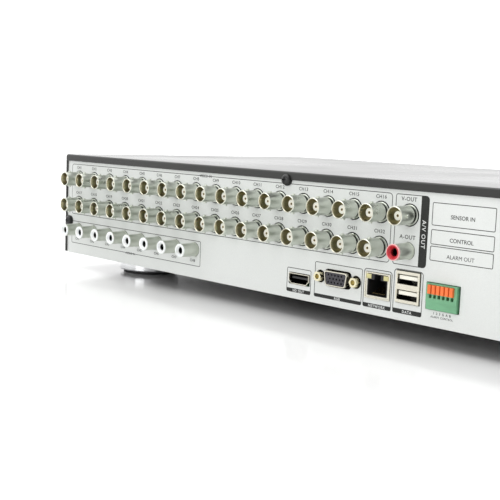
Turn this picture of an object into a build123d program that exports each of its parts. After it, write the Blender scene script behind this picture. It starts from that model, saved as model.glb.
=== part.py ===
from build123d import *
from math import cos, radians, sin
import os

os.makedirs("parts", exist_ok=True)

# A 32-channel video recorder in a flat steel case. Millimetres, +Z up. The origin lies on the
# surface that the feet stand on, under the middle of the whole recorder. The jacks are on the
# rear panel, which looks along +Y, and the buttons are on the front bezel, which looks along -Y.

# ------------------------------------------------------------------ driving dimensions
CASE_WIDTH = 440.0
BODY_HEIGHT = 70.6
FOOT_HEIGHT = 11.0
SHEET = 1.0
PANEL_Y = 127.7
COVER_FRONT_Y = -117.3
BEZEL_FACE_Y = -139.0
BUTTON_PROUD = 1.4
JACK_PITCH = 18.0
JACK_REACH = 12.7
JACKS_PER_ROW = 16
AUDIO_JACKS = 8
LEVER_COUNT = 6
LEVER_PITCH = 2.54
BUTTON_TRAVEL = 0.8
SWITCH_TILT = 10.0

BODY_TOP = FOOT_HEIGHT + BODY_HEIGHT
FLOOR_TOP = FOOT_HEIGHT + SHEET
HALF_WIDTH = CASE_WIDTH / 2

# Places on the rear panel are (along, up) from the axis of the first video jack: along runs
# towards the mains inlet, and up runs towards the lid.
FIRST_JACK_X = HALF_WIDTH - 16.5
FIRST_JACK_Z = FOOT_HEIGHT + 53.7
REAR = Plane(origin=(FIRST_JACK_X, PANEL_Y, FIRST_JACK_Z), x_dir=(-1, 0, 0), z_dir=(0, 1, 0))
FRONT = Plane(origin=(0, 0, 0), x_dir=(1, 0, 0), z_dir=(0, -1, 0))
MIDDLE_ALONG = FIRST_JACK_X

LOWER_ROW_UP = -JACK_PITCH
AUDIO_UP = -2 * JACK_PITCH
OUTPUT_ALONG = 287.9
HD_PORT = (215.5, -42.3)
RGB_PORT = (243.5, -38.4)
NETWORK_PORT = (270.4, -38.3)
USB_PORT = (289.6, -36.4)
TERMINALS = (301.6, -38.4)
FAN = (368.0, -7.5)
INLET = (385.0, -39.0)
SWITCH = (404.0, -8.0)

PANEL_HALF_WIDTH = HALF_WIDTH - 1.2
PANEL_TOP = BODY_TOP - 1.1
LIP_HEIGHT = 4.65
FLANGE_WIDTH = 2.6
FLANGE_SCREW_UP = -30.5
FLANGE_SCREW_IN = 6.0
VIDEO_HOLE = 5.8
AUDIO_HOLE = 4.55
VIDEO_BLOCK = 14.0
AUDIO_BLOCK = 11.0
BLOCK_FRONT = -1.2
BOARD = 1.6
VIDEO_BOARD_Y = -9.0
MAIN_BOARD_TOP = FIRST_JACK_Z - 45.4
SCREW_RADIUS = 1.5
SCREW_HOLE = 1.6
CROSS_SLOT = 0.7


def rear_spot(along, up, out=0.0):
    """The point that lies out mm behind the rear panel's outer face."""
    return (FIRST_JACK_X - along, PANEL_Y + out, FIRST_JACK_Z + up)


def finish(piece, name):
    piece.part.label = name
    export_step(piece.part, "parts/" + name + ".step")


def make_pan_screw(length, radius=SCREW_RADIUS, head=3.0, head_height=2.2):
    """A cross-head screw that lies along Y: the head is at y above 0, the shank below."""
    head_side = head_height * 0.45
    with BuildPart() as screw:
        with BuildSketch(Plane.XY):
            with BuildLine():
                Line((0, -length), (radius, -length))
                Line((radius, -length), (radius, 0))
                Line((radius, 0), (head, 0))
                Line((head, 0), (head, head_side))
                ThreePointArc(
                    (head, head_side),
                    (head * 0.78, head_height * 0.83),
                    (head * 0.4, head_height),
                )
                Line((head * 0.4, head_height), (0, head_height))
                Line((0, head_height), (0, -length))
            make_face()
        revolve(axis=Axis.Y)
        with Locations((0, head_height, 0)):
            Box(head * 1.1, head_height * 1.1, CROSS_SLOT, mode=Mode.SUBTRACT)
            Box(CROSS_SLOT, head_height * 1.1, head * 1.1, mode=Mode.SUBTRACT)
    return screw.part


# ------------------------------------------------------------------ places that repeat
upper_jacks = [(i * JACK_PITCH, 0.0) for i in range(JACKS_PER_ROW)]
lower_jacks = [(i * JACK_PITCH, LOWER_ROW_UP) for i in range(JACKS_PER_ROW)]
video_output = (OUTPUT_ALONG, 0.0)
audio_inputs = [(i * JACK_PITCH, AUDIO_UP) for i in range(AUDIO_JACKS)]
audio_output = (OUTPUT_ALONG, LOWER_ROW_UP)
video_places = upper_jacks + lower_jacks + [video_output]
audio_places = audio_inputs + [audio_output]

lip_screw = (MIDDLE_ALONG, BODY_TOP - LIP_HEIGHT - FIRST_JACK_Z)
flange_screws = [
    (MIDDLE_ALONG - HALF_WIDTH + FLANGE_SCREW_IN, FLANGE_SCREW_UP),
    (MIDDLE_ALONG + HALF_WIDTH - FLANGE_SCREW_IN, FLANGE_SCREW_UP),
]
cover_screws = [lip_screw] + flange_screws

FAN_SCREW_STEP = 32.0
fan_screws = [
    (FAN[0] + i * FAN_SCREW_STEP / 2, FAN[1] + j * FAN_SCREW_STEP / 2) for i in (-1, 1) for j in (-1, 1)
]
INLET_SCREW_STEP = 40.0
inlet_screws = [(INLET[0] + i * INLET_SCREW_STEP / 2, INLET[1]) for i in (-1, 1)]

FOOT_X = 170.0
FOOT_REAR_Y = 89.0
FOOT_FRONT_Y = -84.0
foot_spots = [(x, y) for x in (-FOOT_X, FOOT_X) for y in (FOOT_FRONT_Y, FOOT_REAR_Y)]

# ------------------------------------------------------------------ port sizes
HD_OUTER = (15.2, 11.2, 6.0)
RGB_OUTER = (16.4, 14.0, 7.9)
RGB_POST_STEP = 24.99
RGB_OPENING = (19.0, 9.5)
RGB_POST_HOLE = 3.5
NETWORK_OUTER = (16.2, 13.6)
USB_OUTER = (14.5, 16.1)
TERMINAL_WIDTH = LEVER_COUNT * LEVER_PITCH + 2.6
TERMINAL_HEIGHT = 13.0
TERMINAL_MIDDLE = (TERMINALS[0] + TERMINAL_WIDTH / 2, TERMINALS[1])
FAN_SIZE = 40.0
INLET_BODY = (27.2, 19.6)
SWITCH_BODY = (12.8, 18.6)
PORT_GAP = 0.4
TERMINAL_GAP = (1.0, 0.4)
FAN_HOLE = FAN_SIZE / 2 - 1.2
PANEL_FLANGE = 8.0

# ================================================================== steel case
with BuildPart() as rear_panel:
    with BuildSketch(REAR):
        with Locations((MIDDLE_ALONG, (PANEL_TOP + FOOT_HEIGHT) / 2 - FIRST_JACK_Z)):
            Rectangle(2 * PANEL_HALF_WIDTH, PANEL_TOP - FOOT_HEIGHT)
        with Locations(*video_places):
            Circle(VIDEO_HOLE, mode=Mode.SUBTRACT)
        with Locations(*audio_places):
            Circle(AUDIO_HOLE, mode=Mode.SUBTRACT)
        with Locations(*cover_screws, *fan_screws, *inlet_screws):
            Circle(SCREW_HOLE, mode=Mode.SUBTRACT)
        with Locations(HD_PORT):
            RectangleRounded(
                HD_OUTER[0] + 2 * PORT_GAP,
                HD_OUTER[2] + 2 * PORT_GAP,
                2 * PORT_GAP,
                mode=Mode.SUBTRACT,
            )
        with Locations(RGB_PORT):
            RectangleRounded(RGB_OPENING[0], RGB_OPENING[1], 2.5, mode=Mode.SUBTRACT)
            with Locations((-RGB_POST_STEP / 2, 0), (RGB_POST_STEP / 2, 0)):
                Circle(RGB_POST_HOLE, mode=Mode.SUBTRACT)
        with Locations(NETWORK_PORT):
            Rectangle(NETWORK_OUTER[0] + PORT_GAP, NETWORK_OUTER[1] + PORT_GAP, mode=Mode.SUBTRACT)
        with Locations(USB_PORT):
            Rectangle(USB_OUTER[0] + 2 * PORT_GAP, USB_OUTER[1] + 2 * PORT_GAP, mode=Mode.SUBTRACT)
        with Locations(TERMINAL_MIDDLE):
            Rectangle(
                TERMINAL_WIDTH + 2 * TERMINAL_GAP[0],
                TERMINAL_HEIGHT + 2 * TERMINAL_GAP[1],
                mode=Mode.SUBTRACT,
            )
        with Locations(FAN):
            Circle(FAN_HOLE, mode=Mode.SUBTRACT)
        with Locations(INLET):
            Rectangle(INLET_BODY[0] + 2 * PORT_GAP, INLET_BODY[1] + 2 * PORT_GAP, mode=Mode.SUBTRACT)
        with Locations(SWITCH):
            Rectangle(SWITCH_BODY[0] + 2 * PORT_GAP, SWITCH_BODY[1] + 2 * PORT_GAP, mode=Mode.SUBTRACT)
    extrude(amount=-SHEET)
    with BuildSketch(REAR.offset(-SHEET)):
        with Locations((MIDDLE_ALONG, PANEL_TOP - SHEET / 2 - FIRST_JACK_Z)):
            Rectangle(2 * PANEL_HALF_WIDTH, SHEET)
    extrude(amount=-PANEL_FLANGE)
finish(rear_panel, "rear_panel")

COVER_LENGTH = PANEL_Y + SHEET - COVER_FRONT_Y
COVER_BOTTOM = FOOT_HEIGHT + 0.6
COVER_MIDDLE_Z = (BODY_TOP + COVER_BOTTOM) / 2
EAR_RADIUS = 3.4
COVER_SIDE_ROUND = 1.8
COVER_REAR_ROUND = 1.5
VENT_MIDDLE = (10.0, 52.0)
VENT_SLOT = (22.0, 2.8)
VENT_STEP = 7.0
VENT_COUNT = 16
with BuildPart() as top_cover:
    with BuildSketch(FRONT.offset(-COVER_FRONT_Y)):
        with Locations((0, COVER_MIDDLE_Z)):
            Rectangle(CASE_WIDTH, BODY_TOP - COVER_BOTTOM)
        with Locations((0, COVER_MIDDLE_Z - SHEET)):
            Rectangle(CASE_WIDTH - 2 * SHEET, BODY_TOP - COVER_BOTTOM, mode=Mode.SUBTRACT)
    extrude(amount=-COVER_LENGTH)
    with BuildSketch(REAR):
        with Locations((MIDDLE_ALONG, BODY_TOP - LIP_HEIGHT / 2 - FIRST_JACK_Z)):
            Rectangle(CASE_WIDTH, LIP_HEIGHT)
        for side in (-1, 1):
            flange_along = MIDDLE_ALONG + side * (HALF_WIDTH - FLANGE_WIDTH / 2)
            with Locations((flange_along, COVER_MIDDLE_Z - FIRST_JACK_Z)):
                Rectangle(FLANGE_WIDTH, BODY_TOP - COVER_BOTTOM)
            tab_along = MIDDLE_ALONG + side * (HALF_WIDTH - FLANGE_SCREW_IN / 2)
            with Locations((tab_along, FLANGE_SCREW_UP)):
                Rectangle(FLANGE_SCREW_IN, 2 * EAR_RADIUS)
        with Locations(*cover_screws):
            Circle(EAR_RADIUS)
        with Locations(*cover_screws):
            Circle(SCREW_HOLE, mode=Mode.SUBTRACT)
    extrude(amount=SHEET)
    long_edges = top_cover.edges().filter_by(Axis.Y).group_by(Axis.Z)[-1]
    fillet([long_edges.sort_by(Axis.X)[0], long_edges.sort_by(Axis.X)[-1]], radius=COVER_SIDE_ROUND)
    rear_edges = top_cover.edges().filter_by(Axis.X).group_by(Axis.Y)[-1]
    fillet(rear_edges.sort_by(Axis.Z)[-1], radius=COVER_REAR_ROUND)
    with BuildSketch(Plane.YZ.offset(-HALF_WIDTH - 1)):
        with Locations(VENT_MIDDLE):
            with GridLocations(VENT_STEP, 0.0, VENT_COUNT, 1):
                SlotOverall(*VENT_SLOT, rotation=90)
    extrude(amount=CASE_WIDTH + 2, mode=Mode.SUBTRACT)
finish(top_cover, "top_cover")

CHASSIS_HALF = HALF_WIDTH - 1.1
CHASSIS_LENGTH = PANEL_Y - SHEET - COVER_FRONT_Y
CHASSIS_MIDDLE_Y = (PANEL_Y - SHEET + COVER_FRONT_Y) / 2
SIDE_WALL_HEIGHT = 22.0
FRONT_WALL_HEIGHT = 66.0
FOOT_SCREW_HOLE = 2.1
LEAD_HOLE = 4.0
front_lead_spot = (20.0, 60.0)
with BuildPart() as bottom_chassis:
    with BuildSketch(Plane.XY.offset(FOOT_HEIGHT)):
        with Locations((0, CHASSIS_MIDDLE_Y)):
            Rectangle(2 * CHASSIS_HALF, CHASSIS_LENGTH)
        with Locations(*foot_spots):
            Circle(FOOT_SCREW_HOLE, mode=Mode.SUBTRACT)
    extrude(amount=SHEET)
    with BuildSketch(Plane.XY.offset(FLOOR_TOP)):
        for side in (-1, 1):
            with Locations((side * (CHASSIS_HALF - SHEET / 2), CHASSIS_MIDDLE_Y)):
                Rectangle(SHEET, CHASSIS_LENGTH)
    extrude(amount=SIDE_WALL_HEIGHT)
    with BuildSketch(FRONT.offset(-COVER_FRONT_Y)):
        with Locations((0, FLOOR_TOP + FRONT_WALL_HEIGHT / 2)):
            Rectangle(2 * CHASSIS_HALF, FRONT_WALL_HEIGHT)
        with Locations(front_lead_spot):
            Circle(LEAD_HOLE, mode=Mode.SUBTRACT)
    extrude(amount=-SHEET)
finish(bottom_chassis, "bottom_chassis")

# ------------------------------------------------------------------ feet
FOOT_RADIUS = 21.0
PAD_RADIUS = 18.4
RING_BOTTOM = 2.0
PAD_TOP = 3.0
PAD_FIT = PAD_RADIUS + 0.1
PAD_HOLE = 5.0
FOOT_CHAMFER = 1.6
with BuildPart() as foot_ring:
    with BuildSketch(Plane.XZ):
        with BuildLine():
            Line((FOOT_SCREW_HOLE, FOOT_HEIGHT), (FOOT_SCREW_HOLE, PAD_TOP))
            Line((FOOT_SCREW_HOLE, PAD_TOP), (PAD_FIT, PAD_TOP))
            Line((PAD_FIT, PAD_TOP), (PAD_FIT, RING_BOTTOM))
            Line((PAD_FIT, RING_BOTTOM), (FOOT_RADIUS - 1.0, RING_BOTTOM))
            ThreePointArc(
                (FOOT_RADIUS - 1.0, RING_BOTTOM),
                (FOOT_RADIUS - 0.29, RING_BOTTOM + 0.29),
                (FOOT_RADIUS, RING_BOTTOM + 1.0),
            )
            Line((FOOT_RADIUS, RING_BOTTOM + 1.0), (FOOT_RADIUS, FOOT_HEIGHT - FOOT_CHAMFER))
            Line((FOOT_RADIUS, FOOT_HEIGHT - FOOT_CHAMFER), (FOOT_RADIUS - FOOT_CHAMFER, FOOT_HEIGHT))
            Line((FOOT_RADIUS - FOOT_CHAMFER, FOOT_HEIGHT), (FOOT_SCREW_HOLE, FOOT_HEIGHT))
        make_face()
    revolve(axis=Axis.Z)
with BuildPart() as foot_pad:
    Cylinder(PAD_RADIUS, PAD_TOP, align=(Align.CENTER, Align.CENTER, Align.MIN))
    Cylinder(PAD_HOLE, PAD_TOP, align=(Align.CENTER, Align.CENTER, Align.MIN), mode=Mode.SUBTRACT)
    fillet(foot_pad.edges().group_by(Axis.Z)[0].sort_by(SortBy.RADIUS)[-1], radius=0.4)
with BuildPart() as foot_rings:
    with Locations(*[(x, y, 0) for x, y in foot_spots]):
        add(foot_ring.part)
with BuildPart() as foot_pads:
    with Locations(*[(x, y, 0) for x, y in foot_spots]):
        add(foot_pad.part)
finish(foot_rings, "foot_rings")
finish(foot_pads, "foot_pads")

# ================================================================== video and audio jacks
BARREL = 4.8
BARREL_BORE = 4.15
COLLAR = 5.25
NECK = 4.2
CORE = 2.35
CORE_FRONT = 9.7
CORE_BORE = CORE + 0.02
CONTACT = 0.7
CONTACT_BORE = CONTACT + 0.02
BACK_OVERLAP = 0.2
BLOCK_GAP = 0.02
COLLAR_OUT = 0.7
NECK_OUT = 2.1
BARREL_FLOOR = 4.0
BARREL_EDGE = 0.3
SMALL_EDGE = 0.2
LUG_OUT = 8.3
LUG_MIDDLE = 4.95
LUG_RADIUS = 1.0
LUG_LENGTH = 1.1


def make_video_jack(lug_axis):
    """A bayonet jack along Y: a barrel with a collar, a neck and two lugs, on a square block."""
    with BuildPart() as jack:
        with BuildSketch(Plane.XY):
            with BuildLine():
                Polyline(
                    (CORE_BORE, BLOCK_FRONT + BLOCK_GAP),
                    (COLLAR, BLOCK_FRONT + BLOCK_GAP),
                    (COLLAR, COLLAR_OUT - BARREL_EDGE),
                    (COLLAR - BARREL_EDGE, COLLAR_OUT),
                    (NECK, COLLAR_OUT),
                    (NECK, NECK_OUT),
                    (BARREL - SMALL_EDGE, NECK_OUT),
                    (BARREL, NECK_OUT + SMALL_EDGE),
                    (BARREL, JACK_REACH - BARREL_EDGE),
                    (BARREL - BARREL_EDGE, JACK_REACH),
                    (BARREL_BORE + SMALL_EDGE, JACK_REACH),
                    (BARREL_BORE, JACK_REACH - BARREL_EDGE),
                    (BARREL_BORE, BARREL_FLOOR),
                    (CORE_BORE, BARREL_FLOOR),
                    close=True,
                )
            make_face()
        revolve(axis=Axis.Y)
        with Locations((0, (BLOCK_FRONT + VIDEO_BOARD_Y) / 2, 0)):
            Box(VIDEO_BLOCK, BLOCK_FRONT - VIDEO_BOARD_Y, VIDEO_BLOCK)
        with Locations((0, VIDEO_BOARD_Y, 0)):
            Cylinder(CORE_BORE, -2 * VIDEO_BOARD_Y, rotation=(90, 0, 0), mode=Mode.SUBTRACT)
        lug_turn = (0, 90, 0) if lug_axis == "x" else (0, 0, 0)
        for side in (-1, 1):
            reach = side * LUG_MIDDLE
            spot = (reach, LUG_OUT, 0) if lug_axis == "x" else (0, LUG_OUT, reach)
            with Locations(spot):
                Cylinder(LUG_RADIUS, LUG_LENGTH, rotation=lug_turn)
    return jack.part


video_jack = make_video_jack("z")
output_jack = make_video_jack("x")

with BuildPart() as jack_core:
    with BuildSketch(Plane.XY):
        with BuildLine():
            Polyline(
                (CONTACT_BORE, VIDEO_BOARD_Y),
                (CORE, VIDEO_BOARD_Y),
                (CORE, CORE_FRONT - SMALL_EDGE),
                (CORE - SMALL_EDGE, CORE_FRONT),
                (CONTACT_BORE, CORE_FRONT),
                close=True,
            )
        make_face()
    revolve(axis=Axis.Y)

CONTACT_BACK = VIDEO_BOARD_Y - 2 * BOARD
CONTACT_FRONT = CORE_FRONT - 0.3
with BuildPart() as video_contact:
    with BuildSketch(Plane.XY):
        with BuildLine():
            Polyline(
                (0, CONTACT_BACK),
                (CONTACT, CONTACT_BACK),
                (CONTACT, CONTACT_FRONT),
                (0, CONTACT_FRONT),
                close=True,
            )
        make_face()
    revolve(axis=Axis.Y)

with BuildPart() as video_jacks_upper:
    with Locations(*[rear_spot(*place) for place in upper_jacks]):
        add(video_jack)
with BuildPart() as video_jacks_lower:
    with Locations(*[rear_spot(*place) for place in lower_jacks]):
        add(video_jack)
with BuildPart() as video_out_jack:
    with Locations(rear_spot(*video_output)):
        add(output_jack)
with BuildPart() as jack_insulators:
    with Locations(*[rear_spot(*place) for place in video_places]):
        add(jack_core.part)
finish(video_jacks_upper, "video_jacks_upper")
finish(video_jacks_lower, "video_jacks_lower")
finish(video_out_jack, "video_out_jack")
finish(jack_insulators, "jack_insulators")

AUDIO_BARREL = 4.15
AUDIO_COLLAR = 4.42
AUDIO_COLLAR_OUT = 0.8
AUDIO_BORE = 3.5
AUDIO_SHELL_FRONT = 11.4
AUDIO_REACH = 12.3
SLEEVE_FIT = AUDIO_BORE - 0.03
SLEEVE_HOLE = 1.95
SLEEVE_FUNNEL = (3.0, 1.6)
SLEEVE_EDGE = 0.3
PIN_HOLE = 1.6
PIN_TUBE = SLEEVE_HOLE - 0.03
PIN_TUBE_FRONT = AUDIO_REACH - 3.0
PIN_HOLE_BACK = -4.0
with BuildPart() as audio_jack:
    with BuildSketch(Plane.XY):
        with BuildLine():
            Polyline(
                (AUDIO_BORE, BLOCK_FRONT - BACK_OVERLAP),
                (AUDIO_COLLAR, BLOCK_FRONT - BACK_OVERLAP),
                (AUDIO_COLLAR, AUDIO_COLLAR_OUT),
                (AUDIO_BARREL, AUDIO_COLLAR_OUT),
                (AUDIO_BARREL, AUDIO_SHELL_FRONT),
                (AUDIO_BORE, AUDIO_SHELL_FRONT),
                close=True,
            )
        make_face()
    revolve(axis=Axis.Y)
    with Locations((0, (BLOCK_FRONT + VIDEO_BOARD_Y) / 2, 0)):
        Box(AUDIO_BLOCK, BLOCK_FRONT - VIDEO_BOARD_Y, AUDIO_BLOCK)
    with Locations((0, VIDEO_BOARD_Y, 0)):
        Cylinder(AUDIO_BORE, -2 * VIDEO_BOARD_Y, rotation=(90, 0, 0), mode=Mode.SUBTRACT)
with BuildPart() as audio_sleeve:
    with BuildSketch(Plane.XY):
        with BuildLine():
            Polyline(
                (SLEEVE_HOLE, VIDEO_BOARD_Y),
                (SLEEVE_FIT, VIDEO_BOARD_Y),
                (SLEEVE_FIT, AUDIO_SHELL_FRONT),
                (AUDIO_BARREL, AUDIO_SHELL_FRONT),
                (AUDIO_BARREL, AUDIO_REACH - SLEEVE_EDGE),
                (AUDIO_BARREL - SLEEVE_EDGE, AUDIO_REACH),
                (SLEEVE_FUNNEL[0], AUDIO_REACH),
                (SLEEVE_HOLE, AUDIO_REACH - SLEEVE_FUNNEL[1]),
                close=True,
            )
        make_face()
    revolve(axis=Axis.Y)
with BuildPart() as audio_contact:
    with BuildSketch(Plane.XY):
        with BuildLine():
            Polyline(
                (0, CONTACT_BACK),
                (CONTACT, CONTACT_BACK),
                (CONTACT, VIDEO_BOARD_Y),
                (PIN_TUBE, VIDEO_BOARD_Y),
                (PIN_TUBE, PIN_TUBE_FRONT),
                (PIN_HOLE, PIN_TUBE_FRONT),
                (PIN_HOLE, PIN_HOLE_BACK),
                (0, PIN_HOLE_BACK),
                close=True,
            )
        make_face()
    revolve(axis=Axis.Y)

with BuildPart() as audio_jacks:
    with Locations(*[rear_spot(*place) for place in audio_places]):
        add(audio_jack.part)
with BuildPart() as audio_in_sleeves:
    with Locations(*[rear_spot(*place) for place in audio_inputs]):
        add(audio_sleeve.part)
with BuildPart() as audio_out_sleeve:
    with Locations(rear_spot(*audio_output)):
        add(audio_sleeve.part)
with BuildPart() as jack_contacts:
    with Locations(*[rear_spot(*place) for place in video_places]):
        add(video_contact.part)
    with Locations(*[rear_spot(*place) for place in audio_places]):
        add(audio_contact.part)
finish(audio_jacks, "audio_jacks")
finish(audio_in_sleeves, "audio_in_sleeves")
finish(audio_out_sleeve, "audio_out_sleeve")
finish(jack_contacts, "jack_contacts")

# The upright board that carries every jack. Its tongue stands on the main board.
BOARD_TOP_UP = 9.0
BOARD_LEFT = -9.0
BOARD_RIGHT = 297.0
BOARD_LOW_UP = -27.0
AUDIO_BOARD_UP = -44.0
TONGUE = (146.0, 198.0)
TONGUE_UP = MAIN_BOARD_TOP - FIRST_JACK_Z
with BuildPart() as video_board:
    with BuildSketch(REAR.offset(VIDEO_BOARD_Y)):
        with BuildLine():
            Polyline(
                (BOARD_LEFT, BOARD_TOP_UP),
                (BOARD_RIGHT, BOARD_TOP_UP),
                (BOARD_RIGHT, BOARD_LOW_UP),
                (TONGUE[1], BOARD_LOW_UP),
                (TONGUE[1], TONGUE_UP),
                (TONGUE[0], TONGUE_UP),
                (TONGUE[0], AUDIO_BOARD_UP),
                (BOARD_LEFT, AUDIO_BOARD_UP),
                close=True,
            )
        make_face()
        with Locations(*video_places, *audio_places):
            Circle(CONTACT + 0.1, mode=Mode.SUBTRACT)
    extrude(amount=-BOARD)
finish(video_board, "video_board")

# ================================================================== ports on the main board
PORT_BACK = -12.0
HD_FRONT = 0.6
HD_WALL = 0.4
HD_SIDE = 3.9
HD_SLOPE = 46.0
HD_TONGUE = (12.0, 1.1)
HD_TONGUE_FRONT = -0.8
HD_TONGUE_LENGTH = 8.0
HD_ROOT = (13.6, 3.2)
HD_ROOT_FRONT = -8.6
HD_ROOT_LENGTH = 2.6
with BuildPart() as hd_port_shell:
    with BuildSketch(REAR.offset(HD_FRONT)):
        with Locations(HD_PORT):
            with Locations((0, (HD_OUTER[2] - HD_SIDE) / 2)):
                Rectangle(HD_OUTER[0], HD_SIDE)
            with Locations((0, -HD_SIDE / 2)):
                Trapezoid(HD_OUTER[0], HD_OUTER[2] - HD_SIDE, HD_SLOPE, rotation=180)
        offset(amount=-HD_WALL, mode=Mode.SUBTRACT)
    extrude(amount=PORT_BACK)
finish(hd_port_shell, "hd_port_shell")

with BuildPart() as hd_port_tongue:
    with BuildSketch(REAR.offset(HD_TONGUE_FRONT)):
        with Locations((HD_PORT[0], HD_PORT[1] + 0.5)):
            Rectangle(*HD_TONGUE)
    extrude(amount=-HD_TONGUE_LENGTH)
    with BuildSketch(REAR.offset(HD_ROOT_FRONT)):
        with Locations((HD_PORT[0], HD_PORT[1] + 0.9)):
            Rectangle(*HD_ROOT)
    extrude(amount=-HD_ROOT_LENGTH)
finish(hd_port_tongue, "hd_port_tongue")

RGB_FRONT = 2.4
RGB_FLANGE = -3.0
RGB_BACK = -13.0
RGB_SLOPE = 80.0
RGB_ROUND = 1.6
RGB_WALL = 0.5
RGB_PLATE = (30.8, 12.5)
RGB_PLATE_THICK = 0.8
RGB_PLATE_BACK = RGB_FLANGE - RGB_PLATE_THICK
RGB_PLATE_HOLE = (13.0, 6.4)
RGB_POST_SHANK = 1.5
with BuildPart() as rgb_port_shell:
    with BuildSketch(REAR.offset(RGB_FRONT)):
        with Locations(RGB_PORT):
            Trapezoid(RGB_OUTER[0], RGB_OUTER[2], RGB_SLOPE, rotation=180)
        fillet(vertices(), radius=RGB_ROUND)
        offset(amount=-RGB_WALL, mode=Mode.SUBTRACT)
    extrude(amount=RGB_FLANGE - RGB_FRONT)
    with BuildSketch(REAR.offset(RGB_FLANGE)):
        with Locations(RGB_PORT):
            RectangleRounded(*RGB_PLATE, 1.5)
            Rectangle(*RGB_PLATE_HOLE, mode=Mode.SUBTRACT)
            with Locations((-RGB_POST_STEP / 2, 0), (RGB_POST_STEP / 2, 0)):
                Circle(SCREW_HOLE, mode=Mode.SUBTRACT)
    extrude(amount=-RGB_PLATE_THICK)
finish(rgb_port_shell, "rgb_port_shell")

INSERT_FRONT = RGB_FRONT - 0.3
INSERT_NOSE = 4.0
INSERT_NOSE_BACK = INSERT_FRONT - INSERT_NOSE
INSERT_BLOCK = (30.0, 12.3)
INSERT_ROUND = 1.35
PIN_STEP = 2.29
PIN_ROW = 1.98
PIN_SHIFT = 1.15
PIN_SOCKET = 0.55
PINS_IN_ROW = 5
with BuildPart() as rgb_port_insert:
    with BuildSketch(REAR.offset(INSERT_FRONT)):
        with Locations(RGB_PORT):
            Trapezoid(RGB_OUTER[0] - 1.6, RGB_OUTER[2] - 1.3, RGB_SLOPE, rotation=180)
        fillet(vertices(), radius=INSERT_ROUND)
    extrude(amount=-INSERT_NOSE)
    with BuildSketch(REAR.offset(INSERT_NOSE_BACK)):
        with Locations(RGB_PORT):
            Rectangle(RGB_PLATE_HOLE[0] - 0.2, RGB_PLATE_HOLE[1] - 0.2)
    extrude(amount=RGB_PLATE_BACK - INSERT_NOSE_BACK)
    with BuildSketch(REAR.offset(RGB_PLATE_BACK)):
        with Locations(RGB_PORT):
            Rectangle(*INSERT_BLOCK)
            with Locations((-RGB_POST_STEP / 2, 0), (RGB_POST_STEP / 2, 0)):
                Circle(RGB_POST_SHANK + 0.5, mode=Mode.SUBTRACT)
    extrude(amount=RGB_BACK - RGB_PLATE_BACK)
    with BuildSketch(REAR.offset(RGB_FRONT)):
        for row, shift in ((PIN_ROW, 0.0), (0.0, PIN_SHIFT), (-PIN_ROW, 0.0)):
            with Locations((RGB_PORT[0] + shift - 0.4, RGB_PORT[1] + row)):
                with GridLocations(PIN_STEP, 0.0, PINS_IN_ROW, 1):
                    Circle(PIN_SOCKET)
    extrude(amount=-3.3, mode=Mode.SUBTRACT)
finish(rgb_port_insert, "rgb_port_insert")

POST_FLATS = 4.76
POST_OUT = RGB_FRONT + 0.4
POST_THREAD = 1.42
POST_THREAD_DEPTH = 4.4
POST_SHANK_LENGTH = 6.0
with BuildPart() as rgb_port_posts:
    with BuildSketch(REAR.offset(RGB_FLANGE)):
        with Locations(RGB_PORT):
            with Locations((-RGB_POST_STEP / 2, 0), (RGB_POST_STEP / 2, 0)):
                RegularPolygon(POST_FLATS / 2, 6, major_radius=False)
    extrude(amount=POST_OUT - RGB_FLANGE)
    with BuildSketch(REAR.offset(RGB_FLANGE)):
        with Locations(RGB_PORT):
            with Locations((-RGB_POST_STEP / 2, 0), (RGB_POST_STEP / 2, 0)):
                Circle(RGB_POST_SHANK)
    extrude(amount=-POST_SHANK_LENGTH)
    with BuildSketch(REAR.offset(POST_OUT)):
        with Locations(RGB_PORT):
            with Locations((-RGB_POST_STEP / 2, 0), (RGB_POST_STEP / 2, 0)):
                Circle(POST_THREAD)
    extrude(amount=-POST_THREAD_DEPTH, mode=Mode.SUBTRACT)
finish(rgb_port_posts, "rgb_port_posts")

NETWORK_FRONT = 0.6
NETWORK_BACK = -16.0
NETWORK_WALL = 0.6
NETWORK_INNER = (NETWORK_OUTER[0] - 2 * NETWORK_WALL, NETWORK_OUTER[1] - 2 * NETWORK_WALL)
NETWORK_BODY = (NETWORK_INNER[0] - 0.1, NETWORK_INNER[1] - 0.1)
NETWORK_FLOOR = NETWORK_BACK + 2.3
LIGHT_DEPTH = 4.2
LIGHT_SIZE = (3.2, 2.4)
light_places = [(NETWORK_PORT[0] + side * 5.6, NETWORK_PORT[1] + 4.6) for side in (-1, 1)]
NETWORK_MOUTH = (11.9, 8.4)
NETWORK_MOUTH_AT = (NETWORK_PORT[0], NETWORK_PORT[1] - 1.2)
KEYWAY = (4.2, 2.6)
with BuildPart() as network_shell:
    with BuildSketch(REAR.offset(NETWORK_FRONT)):
        with Locations(NETWORK_PORT):
            Rectangle(*NETWORK_OUTER)
            Rectangle(*NETWORK_INNER, mode=Mode.SUBTRACT)
    extrude(amount=NETWORK_BACK - NETWORK_FRONT)
finish(network_shell, "network_shell")

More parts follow.
